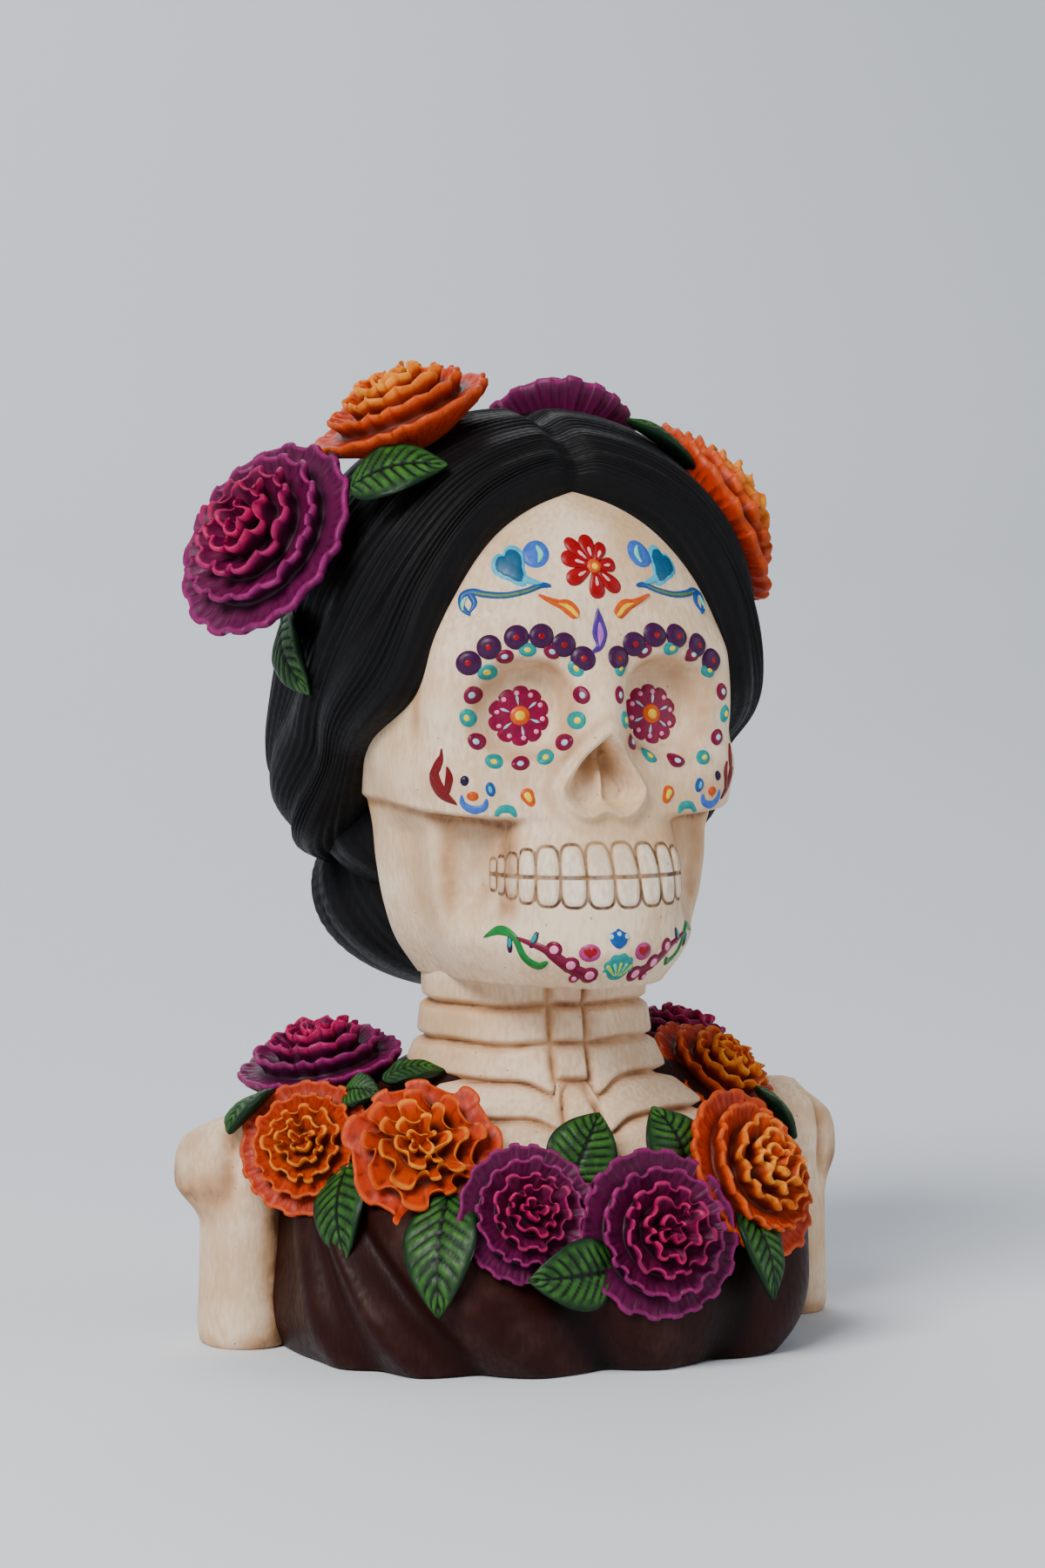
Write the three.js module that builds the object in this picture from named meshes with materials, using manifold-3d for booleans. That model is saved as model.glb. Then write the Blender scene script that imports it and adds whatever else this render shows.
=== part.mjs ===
// A hand-painted ceramic catrina: a bust with a carved skull face, black hair parted in the middle over a low bun,
// flowers and leaves on the hair and round the shoulders, ribs at the throat, and two bare upper arm bones beside a
// draped dress. It is one casting, so it is one solid. Millimetres, +Z up, the face looks along -Y, and the origin
// is on the surface that the bust stands on, straight below the middle of the neck. In the tables below "front" and
// "back" are distances along -Y and +Y from that upright axis.
import * as THREE from "three";
import { mergeVertices } from "three/addons/utils/BufferGeometryUtils.js";
import Module from "manifold-3d";

const wasm = await Module();
wasm.setup();

// The skull, level by level.
const SKULL_COLUMNS = 44;
const SKULL_ROWS = 29;
const SKULL_LEVELS = [
  // height, half width, front, back, squareness in front, squareness behind
  [89, 28, 50, 13, 1.9, 4],
  [97, 33.5, 57, 14, 1.9, 4],
  [106, 36.8, 55.5, 14, 2, 4],
  [116, 38.6, 54.5, 15, 2.1, 4],
  [127, 39.5, 48.5, 20, 2.3, 3.5],
  [138, 41, 45, 38, 2.7, 2.6],
  [152, 44, 44, 56, 3, 2.3],
  [166, 44.5, 44, 58, 2.9, 2.2],
  [177, 44, 43, 58, 2.6, 2.2],
  [189, 41, 39.5, 54, 2.3, 2.2],
  [199, 35, 33, 46, 2.1, 2.1],
  [208, 26, 23, 34, 2, 2],
  [216, 8, 8, 12, 2, 2],
];
const SOCKET = { x: 18, height: 154.5, radius: 12.4, depth: 6 };
const NOSE = { foot: 128, top: 149, halfWidth: 8.4, depth: 5.5, rim: 1.6 };
const TEETH = { height: 115.8, halfHeight: 8, side: 25, rise: 1 };
const CHEEK = { frontEdge: 127, sideEdge: 132.5, bulge: 4.4, hollow: 6.8 };

// The hair: a wide cap round the skull, drawn along four locks of each side, from the nape up to the parting.
const HAIR = { y: 13, height: 160, halfWidth: 56.5, depth: 64, rise: 66, squareness: 2.3, fullness: 3 };
const HAIR_COLUMNS = 34;
const HAIR_ROWS = 15;
const HAIR_LOCKS = [
  // each lock as [side, front, height] from the nape to the parting, the lock along the hairline first
  [[0, -50, 120], [30, -38, 119], [42, -12, 128], [43.5, 2, 143], [39.6, 28, 157], [33, 33, 178], [18, 32, 196], [0, 27, 205]],
  [[0, -58, 121], [34, -50, 119], [51, -24, 128], [57, -4, 148], [54, 14, 172], [45, 24, 194], [24, 24, 212], [0, 18, 216]],
  [[0, -64, 124], [26, -68, 126], [44, -56, 138], [52, -44, 158], [50, -30, 182], [40, -20, 203], [22, -12, 219], [0, -8, 225]],
  [[0, -68, 128], [0, -74, 140], [0, -78, 152], [0, -77, 168], [0, -72, 184], [0, -64, 198], [0, -54, 209], [0, -42, 217]],
];
const GROOVE = { locks: 5, depth: 1.2 };
const BUN = { y: 48, height: 107, halfWidth: 40, depth: 31, halfHeight: 27, turns: 5, groove: 1.4 };
const GATHER = { y: 31, height: 125, halfWidth: 44, depth: 27, halfHeight: 23 };

// The throat: rings as wide as the neck above, ribs that spread over the chest below, and a strip of plates in front.
const THROAT_LEVELS = [
  // height, half width, front, back
  [34, 52, 53, 34],
  [41, 50, 48, 32],
  [48, 46, 41.5, 30],
  [57, 38, 32.5, 26],
  [65, 31.5, 26.5, 23.5],
  [73.5, 28.4, 23.5, 22.5],
  [82.5, 27, 21.8, 21.6],
  [96, 26.5, 21.6, 21.6],
  [118, 26, 12, 30],
];
const THROAT_TOP = 118;
const RING_EDGES = [34, 41, 48, 57, 65, 73.5, 82.5, 96];
const RING_BULGE = 1.9;
const THROAT_COLUMNS = 22;

// The dress and shoulders.
const DRESS_LEVELS = [
  // height, half width, front, back
  [0, 63.5, 56, 46],
  [4, 65.5, 58.5, 48],
  [24, 65.5, 60, 47.5],
  [38, 63.5, 53, 46],
  [46, 60.5, 40, 42.5],
  [54, 55.5, 27, 36],
  [62, 44, 21, 29],
  [70, 28, 18, 20],
];
const DRESS_SQUARENESS = 2.5;
const DRESS_COLUMNS = 38;
const FOLDS = [
  // bearing at the hem in degrees from the front, half width, height of the fold
  [-28, 30, 2.5],
  [-62, 7, 1.5],
  [-44, 6, 2.4],
  [-32, 5, -2.6],
  [-16, 8, 2],
  [0, 5, -2.4],
  [14, 7, 1.8],
  [34, 7, -2.4],
  [52, 9, 2],
  [70, 6, -1.5],
];
const SLANTS = [
  // bearing at the hem, degrees that the cloth turns by for each millimetre of height
  [-180, 0],
  [-130, 0],
  [-60, -0.45],
  [-15, -0.8],
  [10, -0.5],
  [40, 0.5],
  [90, 0.1],
  [180, 0],
];

// The upper arm bones.
const ARM = { x: 71, y: 11, halfWidth: 10.5, halfDepth: 12.5, top: 59 };
const ARM_COLUMNS = 12;

// The flowers. Each is a low dome of ruffled petals, ring inside ring, given as shares of its radius.
const PETAL_STEPS = [
  // distance from the middle, height, ruffle
  [0, -0.75, 0],
  [0.7, -0.22, 0],
  [1, 0.06, 1],
  [0.66, 0.1, 0],
  [0.76, 0.3, 0.8],
  [0.4, 0.28, 0],
  [0.46, 0.5, 0.7],
  [0, 0.42, 0],
];
const RUFFLE = 0.055;
const CARNATION = { waves: 8, ruffle: 1 };
const MARIGOLD = { waves: 7, ruffle: 2.2 };
const FLOWERS = [
  // [side, front, height], the way it faces as [side, front, height], radius, kind
  [[-67, -4, 194.5], [-0.78, 0.4, 0.46], 25.5, CARNATION],
  [[-33, -2, 224.5], [-0.42, 0.06, 0.9], 22, CARNATION],
  [[16, -27, 220], [0.2, -0.66, 0.72], 19.5, CARNATION],
  [[50, -9.5, 201], [0.85, -0.05, 0.52], 25, CARNATION],
  [[-50.5, -13, 67.5], [-0.22, 0.1, 0.97], 20, CARNATION],
  [[-62, 13, 50], [-0.5, 0.78, 0.36], 16.5, CARNATION],
  [[-41, 37, 51], [-0.34, 0.82, 0.46], 19.5, MARIGOLD],
  [[-22, 56, 38], [-0.12, 0.93, 0.32], 16.5, CARNATION],
  [[9, 60, 32.5], [0.06, 0.96, 0.26], 20, CARNATION],
  [[38.5, 46, 43.5], [0.5, 0.76, 0.42], 21, CARNATION],
  [[48, 4, 62], [0.42, 0.5, 0.76], 16.5, CARNATION],
  [[48, -24, 67], [0.3, 0.0, 0.95], 18, CARNATION],
];

// The leaves, from foot to tip.
const LEAF_THICKNESS = 1.8;
const LEAF_BACKING = 10;
const LEAVES = [
  // foot and tip as [side, front, height], half width
  [[-51, 13, 206.5], [-30.5, 25, 211.5], 9],
  [[-63, -3, 176], [-57, 1, 157], 7],
  [[41, 2, 210], [20, 10, 223], 5.5],
  [[-67, -1, 62], [-79, 4, 53], 8],
  [[-55, 23, 47], [-60, 37, 26], 7.5],
  [[-43, 12, 65], [-28, 15, 67], 4.5],
  [[-52, 10, 62], [-46, 20, 63], 5],
  [[-36, 48, 42], [-43, 61, 15], 9],
  [[-2, 61, 25], [-25, 64, 24], 8.5],
  [[-10, 50, 43], [1, 42, 59], 8.5],
  [[20, 51, 44], [11, 43, 60], 9],
  [[33, 53, 37], [38, 60, 15], 7],
  [[52, 16, 60], [62, 18, 47], 6],
  [[-47, -22, 61], [-39, -35, 49], 7],
  [[46, -25, 61], [38, -37, 48], 7],
];

const { clamp, degToRad, lerp } = THREE.MathUtils;
const bell = (x) => Math.exp(-x * x);

// Eases from 0 to 1 as x goes from one value to the other, either way round.
function smooth(x, from, to) {
  const t = clamp((x - from) / (to - from), 0, 1);
  return t * t * (3 - 2 * t);
}

// One column of a table at a place between its rows, as a smooth curve through them.
function level(table, place, column) {
  const last = table.length - 1;
  let i = 0;
  while (i < last - 1 && table[i + 1][0] < place) i++;
  const [a, b] = [table[i], table[i + 1]];
  const slope = (j) => {
    const [low, high] = [table[Math.max(j - 1, 0)], table[Math.min(j + 1, last)]];
    return (high[column] - low[column]) / (high[0] - low[0]);
  };
  const span = b[0] - a[0];
  const t = clamp((place - a[0]) / span, 0, 1);
  const rise = t * t * (3 - 2 * t);
  const bend = slope(i) * t * (1 - t) ** 2 - slope(i + 1) * t * t * (1 - t);
  return lerp(a[column], b[column], rise) + span * bend;
}

// How far a rounded outline reaches at an angle from the front.
function reach(angle, halfWidth, front, back, squareness) {
  const depth = Math.cos(angle) > 0 ? front : back;
  const across = Math.abs(Math.sin(angle)) / halfWidth;
  const along = Math.abs(Math.cos(angle)) / depth;
  return (across ** squareness + along ** squareness) ** (-1 / squareness);
}

const turned = (radius, angle, height) => [radius * Math.sin(angle), -radius * Math.cos(angle), height];

// A solid from a sheet wrapped round it: place(u, v) has u once round, anticlockwise seen from the v = 1 end.
function wrapped(columns, rows, place) {
  const sheet = new THREE.PlaneGeometry(1, 1, columns, rows);
  const at = sheet.attributes.position;
  for (let i = 0; i < at.count; i++) at.setXYZ(i, ...place(at.getX(i) + 0.5, at.getY(i) + 0.5));
  sheet.deleteAttribute("normal");
  sheet.deleteAttribute("uv");
  const merged = mergeVertices(sheet, 1e-3);
  const corners = [];
  for (let i = 0; i < merged.index.count; i += 3) {
    const [a, b, c] = merged.index.array.subarray(i, i + 3);
    if (a !== b && b !== c && c !== a) corners.push(a, b, c);
  }
  return new wasm.Manifold(
    new wasm.Mesh({
      numProp: 3,
      vertProperties: merged.attributes.position.array,
      triVerts: Uint32Array.from(corners),
    }),
  );
}

// The carving of the face, as a change of the skull's reach at a side distance, an angle and a height.
function carving(side, angle, height) {
  const turn = Math.abs((angle * 180) / Math.PI);
  const { x, height: socketHeight, radius, depth } = SOCKET;
  const off = (Math.abs((side - x) / radius) ** 2.4 + Math.abs((height - socketHeight) / radius) ** 2.4) ** (1 / 2.4);
  const socket = -depth * (1 - smooth(off, 0.45, 1.05));
  const brow = 1.4 * bell((height - 171) / 5) * bell((side - 20) / 13);
  const bridge = 8.5 * bell(side / 5.5) * smooth(height, 176, 150) * smooth(height, 143, 150);
  const up = height - NOSE.foot;
  const tall = NOSE.top - NOSE.foot;
  const flare = up < 5 ? Math.sqrt(Math.max(0, 1 - ((up - 5) / 7) ** 2)) : 1 - clamp((up - 5) / (tall - 5), 0, 1) ** 1.4;
  const inside = up > -2 && up < tall + 3 ? NOSE.halfWidth * flare - side : -9;
  const nostril = -NOSE.depth * smooth(inside, -0.5, 2.5);
  const rim = NOSE.rim * bell((inside + 2) / 2);
  const edge = lerp(CHEEK.frontEdge, CHEEK.sideEdge, smooth(turn, 28, 85));
  const arch = smooth(height, edge - 1.5, edge + 1) * smooth(height, edge + 20, edge + 7);
  const cheek = CHEEK.bulge * arch * smooth(turn, 20, 42) * (1 - 0.65 * smooth(turn, 60, 88));
  const below = smooth(height, edge + 0.5, edge - 1.5) * smooth(height, 99, 112);
  const hollow = -CHEEK.hollow * below * bell((turn - 41) / 10);
  const flat = -2.2 * smooth(height, 130, 124) * bell((turn - 70) / 13);
  const temple = -2.4 * bell((turn - 70) / 12) * bell((height - 160) / 14);
  const row = TEETH.halfHeight - 0.18 * side - Math.abs(height - TEETH.height);
  const teeth = TEETH.rise * smooth(row, -0.5, 1) * smooth(side, TEETH.side + 1.5, TEETH.side - 1.5);
  const chin = 1.2 * bell((height - 97) / 6) * bell(turn / 16);
  return socket + brow + bridge + nostril + rim + cheek + hollow + flat + temple + teeth + chin;
}

// The skull's surface at an angle from the front and a height.
function skullReach(angle, height) {
  const [halfWidth, front, back, ahead, behind] = [1, 2, 3, 4, 5].map((column) => level(SKULL_LEVELS, height, column));
  const plain = reach(angle, halfWidth, front, back, Math.cos(angle) > 0 ? ahead : behind);
  const face = Math.cos(angle) > -0.3 ? carving(Math.abs(plain * Math.sin(angle)), angle, height) : 0;
  return plain + face;
}

function makeSkull() {
  const [foot, crown] = [SKULL_LEVELS[0][0], SKULL_LEVELS.at(-1)[0]];
  const underside = 2 / SKULL_ROWS;
  return wrapped(SKULL_COLUMNS, SKULL_ROWS, (u, v) => {
    const turn = 2 * u - 1;
    const angle = Math.PI * (0.45 * turn + 0.55 * turn ** 3);
    if (v < underside * 1.2) return turned(skullReach(angle, foot) * (v / underside), angle, foot);
    const share = (v - underside) / (1 - underside);
    const height = lerp(foot, crown, share + 0.055 * Math.sin(2 * Math.PI * share));
    return turned(v > 0.999 ? 0 : skullReach(angle, height), angle, height);
  });
}

// A point along a row of values, as a smooth curve through them.
function between(values, share) {
  const whole = share * (values.length - 1);
  const i = clamp(Math.floor(whole), 0, values.length - 2);
  const t = whole - i;
  const [b, c] = [values[i], values[i + 1]];
  const a = values[i - 1] ?? 2 * b - c;
  const d = values[i + 2] ?? 2 * c - b;
  return b + 0.5 * t * (c - a + t * (2 * a - 5 * b + 4 * c - d + t * (3 * (b - c) + d - a)));
}

// The hair's surface along one lock of a side: lock 0 is the hairline and 1 the middle of the back.
function hairPoint(lock, along) {
  const spot = [0, 1, 2].map((axis) =>
    between(HAIR_LOCKS.map((points) => between(points.map((point) => point[axis]), along)), lock),
  );
  const ray = new THREE.Vector3(spot[0], spot[1] + HAIR.y, spot[2] - HAIR.height);
  const hairline = ray.length();
  ray.normalize();
  const p = HAIR.squareness;
  const outer =
    ((Math.abs(ray.x) / HAIR.halfWidth) ** p +
      (Math.abs(ray.y) / HAIR.depth) ** p +
      (Math.abs(ray.z) / HAIR.rise) ** p) **
    (-1 / p);
  const roll = Math.sqrt(smooth(lock, 0, 0.14));
  const combed = GROOVE.depth * Math.cos(2 * Math.PI * GROOVE.locks * lock) * Math.sin(Math.PI * along);
  const parting = -3 * bell(ray.x / 0.06) * smooth(along, 0.7, 0.95);
  const full = HAIR.fullness * bell((spot[2] - 132) / 16);
  ray.multiplyScalar(lerp(hairline - 1.5, outer + full + combed + parting, roll));
  return [ray.x, HAIR.y - ray.y, ray.z + HAIR.height];
}

function makeHairCap() {
  const middle = 2 / HAIR_COLUMNS;
  return wrapped(HAIR_COLUMNS, HAIR_ROWS, (u, v) => {
    const turn = Math.abs(2 * u - 1);
    if (turn < middle * 0.5) {
      const [from, to] = [hairPoint(0, 0), hairPoint(0, 1)];
      return from.map((value, axis) => (axis ? lerp(value, to[axis], v) : 0));
    }
    const [x, y, z] = hairPoint((turn - middle) / (1 - middle), v);
    const onMiddle = v < 1e-6 || v > 1 - 1e-6 || turn > 1 - 1e-6;
    return [onMiddle ? 0 : x * Math.sign(u - 0.5), y, z];
  });
}

// A rounded lump of hair, with grooves that wind round it.
function makeLump({ y, height, halfWidth, depth, halfHeight, turns = 0, groove = 0 }, columns, rows) {
  return wrapped(columns, rows, (u, v) => {
    const angle = 2 * Math.PI * u;
    const tilt = Math.PI * (v - 0.5);
    const swell = 1 + (groove / halfWidth) * Math.cos(2 * Math.PI * turns * v + angle) * Math.cos(tilt);
    return [
      halfWidth * swell * Math.cos(tilt) * Math.sin(angle),
      y - depth * swell * Math.cos(tilt) * Math.cos(angle),
      height + halfHeight * Math.sin(tilt),
    ];
  });
}

function makeThroat() {
  const rowsInRing = 3;
  const rings = RING_EDGES.length - 1;
  const rows = rings * rowsInRing + 3;
  return wrapped(THROAT_COLUMNS, rows, (u, v) => {
    const row = clamp(Math.round(v * rows) - 1, 0, rings * rowsInRing + 1);
    const ring = Math.min(Math.floor(row / rowsInRing), rings - 1);
    const share = row / rowsInRing - ring;
    const height = share > 1 ? THROAT_TOP : lerp(RING_EDGES[ring], RING_EDGES[ring + 1], share);
    const angle = Math.PI * (2 * u - 1);
    const [halfWidth, front, back] = [1, 2, 3].map((column) => level(THROAT_LEVELS, height, column));
    const bulge = RING_BULGE * Math.sqrt(Math.max(0, Math.sin(Math.PI * share)));
    const pole = v < 1e-6 || v > 1 - 1e-6;
    return turned(pole ? 0 : reach(angle, halfWidth, front, back, 2.1) + bulge, angle, height);
  });
}

// The cloth's folds run slantwise from the flowers down to the hem.
function makeDress() {
  const heights = [0, 0, 3, 12, 22, 32, 39, 46, 54, 62, 70, 70];
  const rows = heights.length - 1;
  return wrapped(DRESS_COLUMNS, rows, (u, v) => {
    const row = Math.round(v * rows);
    const height = heights[row];
    const turn = 2 * u - 1;
    const hem = 180 * (0.6 * turn + 0.4 * turn ** 3);
    const angle = degToRad(hem + level(SLANTS, hem, 1) * Math.min(height, 50));
    const [halfWidth, front, back] = [1, 2, 3].map((column) => level(DRESS_LEVELS, height, column));
    const folds = FOLDS.reduce((sum, [at, width, depth]) => sum + depth * bell((hem - at) / width), 0);
    const folded = reach(angle, halfWidth, front, back, DRESS_SQUARENESS) + folds * smooth(height, 52, 24);
    return turned(row === 0 || row === rows ? 0 : folded, angle, height);
  });
}

// One upper arm bone: a straight shaft that spreads into two knobs, the larger one behind.
function makeArm(side) {
  const heights = [0, 0, 2.5, 14, 26, 34, 40, 46, 52, 56.5, ARM.top, ARM.top];
  const shares = [0, 0.92, 1, 0.98, 0.96, 0.97, 1, 1.02, 1, 0.84, 0.5, 0];
  const rows = heights.length - 1;
  return wrapped(ARM_COLUMNS, rows, (u, v) => {
    const row = Math.round(v * rows);
    const angle = 2 * Math.PI * u;
    const [height, share] = [heights[row], shares[row]];
    const outward = Math.cos(angle - degToRad(side * 125));
    const knob = 5.5 * smooth(height, 31, 42) * smooth(outward, 0, 1) * (share > 0.9 ? 1 : share);
    const plain = reach(angle, ARM.halfWidth, ARM.halfDepth, ARM.halfDepth, 2.2);
    const [x, y, z] = turned(plain * share + (row === rows ? 0 : knob), angle, height);
    return [side * ARM.x + x, ARM.y + y, z];
  });
}

const toPoint = ([side, front, height]) => new THREE.Vector3(side, -front, height);

function makeFlower([place, facing, radius, kind]) {
  const rows = PETAL_STEPS.length - 1;
  const lean = new THREE.Quaternion().setFromUnitVectors(new THREE.Vector3(0, 0, 1), toPoint(facing).normalize());
  return wrapped(2 * kind.waves, rows, (u, v) => {
    const row = Math.round(v * rows);
    const [out, rise, ruffled] = PETAL_STEPS[row];
    const angle = 2 * Math.PI * (u + (row % 4 < 2 ? 0 : 0.5 / kind.waves));
    const wave = RUFFLE * kind.ruffle * ruffled * Math.cos(2 * Math.PI * u * kind.waves);
    const reachOut = radius * (out + wave);
    const point = new THREE.Vector3(reachOut * Math.cos(angle), reachOut * Math.sin(angle), radius * (rise - wave * 0.7));
    return point.applyQuaternion(lean).add(toPoint(place)).toArray();
  });
}

// A leaf lies between its foot and its tip, slightly folded along its rib, and is backed down to what carries it.
function makeLeaf([foot, tip, halfWidth], middle) {
  const [from, to] = [toPoint(foot), toPoint(tip)];
  const along = to.clone().sub(from);
  const outward = from.clone().add(to).multiplyScalar(0.5).sub(middle);
  const across = outward.clone().cross(along).normalize();
  outward.crossVectors(along, across).normalize();
  return wrapped(6, 5, (u, v) => {
    const angle = 2 * Math.PI * u;
    const width = halfWidth * Math.sin(Math.PI * clamp(v, 0, 1) ** 0.8) ** 0.8;
    const thick = (Math.sin(angle) > 0 ? LEAF_THICKNESS : LEAF_BACKING) * Math.sin(Math.PI * v) ** 0.5;
    const aside = width * Math.cos(angle);
    const out = thick * Math.sin(angle) + 0.18 * Math.abs(aside);
    return from.clone().addScaledVector(along, v).addScaledVector(across, aside).addScaledVector(outward, out).toArray();
  });
}

// Everything joined, as the casting is.
function makeBust() {
  const head = new THREE.Vector3(0, HAIR.y, HAIR.height);
  const chest = new THREE.Vector3(0, 0, 20);
  const pieces = [
    makeSkull(),
    makeHairCap(),
    makeLump(GATHER, 16, 7),
    makeLump(BUN, 16, 9),
    makeThroat(),
    makeDress(),
    makeArm(-1),
    makeArm(1),
    ...FLOWERS.map(makeFlower),
    ...LEAVES.map((leaf) => makeLeaf(leaf, leaf[0][2] > 100 ? head : chest)),
  ];
  return pieces.reduce((whole, piece) => whole.add(piece));
}

function toGeometry(whole) {
  const mesh = whole.getMesh();
  const positions = new Float32Array(mesh.numVert * 3);
  for (let i = 0; i < mesh.numVert; i++) {
    positions.set(mesh.vertProperties.subarray(i * mesh.numProp, i * mesh.numProp + 3), i * 3);
  }
  return new THREE.BufferGeometry()
    .setAttribute("position", new THREE.BufferAttribute(positions, 3))
    .setIndex(new THREE.BufferAttribute(mesh.triVerts, 1));
}

const bust = new THREE.Mesh(
  toGeometry(makeBust()),
  new THREE.MeshStandardMaterial({ color: 0xe3d5bf, roughness: 0.62, metalness: 0 }),
);
bust.name = "catrina_bust";

const catrina = new THREE.Group();
catrina.add(bust);
export default catrina;
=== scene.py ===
import math

import bmesh
import bpy
import numpy as np
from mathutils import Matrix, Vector


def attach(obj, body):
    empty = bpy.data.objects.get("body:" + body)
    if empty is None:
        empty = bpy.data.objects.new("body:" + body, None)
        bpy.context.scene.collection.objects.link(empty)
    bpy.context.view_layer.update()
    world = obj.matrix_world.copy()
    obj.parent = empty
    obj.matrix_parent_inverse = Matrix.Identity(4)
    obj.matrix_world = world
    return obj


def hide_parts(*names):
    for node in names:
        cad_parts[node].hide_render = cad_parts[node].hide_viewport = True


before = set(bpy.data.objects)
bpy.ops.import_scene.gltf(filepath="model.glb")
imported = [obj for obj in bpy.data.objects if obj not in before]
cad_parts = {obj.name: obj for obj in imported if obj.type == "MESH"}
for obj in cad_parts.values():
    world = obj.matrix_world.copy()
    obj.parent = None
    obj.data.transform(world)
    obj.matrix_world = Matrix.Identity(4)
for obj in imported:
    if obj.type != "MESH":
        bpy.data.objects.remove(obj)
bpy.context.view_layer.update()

# Camera, light and floor
# A long lens, 20 degrees round to the bust's right side and a little above its chin, as in the photograph.
# One large soft light stands high on the left, weaker ones on the right and behind, over a pale paper sweep.
TURN = math.radians(20)
AWAY, ASIDE, EYE = 1.1, 0.00275, 0.198

camera_data = bpy.data.cameras.new("camera")
camera_data.sensor_width = 36
camera_data.lens = 103.8
camera_data.clip_end = 20
camera = bpy.data.objects.new("camera", camera_data)
camera.location = (
    -AWAY * math.sin(TURN) - ASIDE * math.cos(TURN),
    -AWAY * math.cos(TURN) + ASIDE * math.sin(TURN),
    EYE,
)
camera.rotation_euler = (math.radians(86.7), 0, -TURN)
bpy.context.collection.objects.link(camera)
bpy.context.scene.camera = camera


def add_light(name, place, aim, size, power, color):
    data = bpy.data.lights.new(name, "AREA")
    data.shape = "DISK"
    data.size = size
    data.energy = power
    data.color = color
    lamp = bpy.data.objects.new(name, data)
    lamp.location = place
    lamp.rotation_euler = (Vector(aim) - Vector(place)).to_track_quat("-Z", "Y").to_euler()
    bpy.context.collection.objects.link(lamp)


add_light("key_light", (-1.3, -1.1, 1.5), (0, 0, 0.13), 1.1, 60, (1, 0.985, 0.96))
add_light("fill_light", (1.5, -1.0, 0.7), (0, 0, 0.13), 1.4, 9, (0.97, 0.98, 1))
add_light("back_light", (0.2, 1.3, 1.4), (0, 0, 0.15), 1.2, 8, (0.97, 0.98, 1))

world = bpy.data.worlds.new("room")
world.use_nodes = True
world.node_tree.nodes["Background"].inputs["Color"].default_value = (0.80, 0.83, 0.87, 1)
world.node_tree.nodes["Background"].inputs["Strength"].default_value = 0.3
bpy.context.scene.world = world

# the paper lies flat under the bust, bends up behind it and goes on as a wall
bm = bmesh.new()
bmesh.ops.create_grid(bm, x_segments=8, y_segments=60, size=1)
for vert in bm.verts:
    along = (vert.co.y + 1) / 2
    bend = min(max((along - 0.55) / 0.2, 0), 1)
    rise = max(along - 0.65, 0) * 6 + 0.35 * bend * bend * (3 - 2 * bend)
    vert.co = (vert.co.x * 4, -2 + 4.6 * min(along, 0.62) + 0.9 * math.sin(bend * math.pi / 2), rise)
sweep_mesh = bpy.data.meshes.new("paper_sweep")
bm.to_mesh(sweep_mesh)
bm.free()
sweep_mesh.polygons.foreach_set("use_smooth", [True] * len(sweep_mesh.polygons))
sweep = bpy.data.objects.new("paper_sweep", sweep_mesh)
bpy.context.collection.objects.link(sweep)
paper = bpy.data.materials.new("paper")
paper.use_nodes = True
paper.node_tree.nodes["Principled BSDF"].inputs["Base Color"].default_value = (0.80, 0.84, 0.90, 1)
paper.node_tree.nodes["Principled BSDF"].inputs["Roughness"].default_value = 0.85
sweep_mesh.materials.append(paper)

# Skull
# The carved face with its eye hollows, heart-shaped nose, cheekbones, two rows of teeth and jaw, in ceramic
# painted cream with a brown wash rubbed into the hollows, made darker with painted shade in the tops of the
# eye hollows, inside the nose and under the cheekbones. One skin whose distance from the upright axis is a
# rounded outline at each height, plus the carving.
CHIN_HEIGHT, CROWN_HEIGHT = 89, 216
SKULL_LEVELS = np.array(
    [
        # height, half width, front, back, squareness in front, squareness behind
        [CHIN_HEIGHT, 28, 50, 13, 1.9, 4],
        [97, 33.5, 57, 14, 1.9, 4],
        [106, 36.8, 56.5, 14, 2, 4],
        [116, 38.6, 54.5, 15, 2.1, 4],
        [127, 39.5, 48.5, 20, 2.3, 3.5],
        [138, 41, 45, 38, 2.7, 2.6],
        [152, 44, 44, 56, 3, 2.3],
        [166, 44.5, 44, 58, 2.9, 2.2],
        [177, 43, 43, 58, 2.55, 2.2],
        [189, 38.8, 39.5, 54, 2.2, 2.2],
        [199, 32.2, 33, 46, 2.05, 2.1],
        [208, 26, 23, 34, 2, 2],
        [CROWN_HEIGHT, 8, 8, 12, 2, 2],
    ]
)
SOCKET_X, SOCKET_Z, SOCKET_RADIUS, SOCKET_DEPTH = 18, 154.5, 12.8, 6.5
NOSE_FOOT, NOSE_WIDEST, NOSE_TOP, NOSE_HALF_WIDTH, NOSE_DEPTH = 131, 136, 149, 8.6, 6.8
BITE_HEIGHT = 115.8
TOOTH_WIDTHS = [6.6, 6.2, 6.0, 5.0, 4.4, 3.6, 3.2]
UPPER_TEETH = [7.8, 7.5, 7.1, 6.3, 5.3, 4.4, 3.7]
LOWER_TEETH = [7.1, 7.0, 6.8, 6.2, 5.4, 4.6, 4.0]
TOOTH_SQUARENESS = 3.4


def smooth(x, start, end):
    t = np.clip((x - start) / (end - start), 0, 1)
    return t * t * (3 - 2 * t)


def bell(x):
    return np.exp(-x * x)


def mix(a, b, share):
    return a + (b - a) * share


def level(table, place, column):
    """One column of a table at places between its rows, as a smooth curve through them."""
    at, value = table[:, 0], table[:, column]
    slope = np.gradient(value, at)
    i = np.clip(np.searchsorted(at, place) - 1, 0, len(at) - 2)
    span = at[i + 1] - at[i]
    t = np.clip((place - at[i]) / span, 0, 1)
    bend = slope[i] * t * (1 - t) ** 2 - slope[i + 1] * t * t * (1 - t)
    return mix(value[i], value[i + 1], t * t * (3 - 2 * t)) + span * bend


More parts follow.
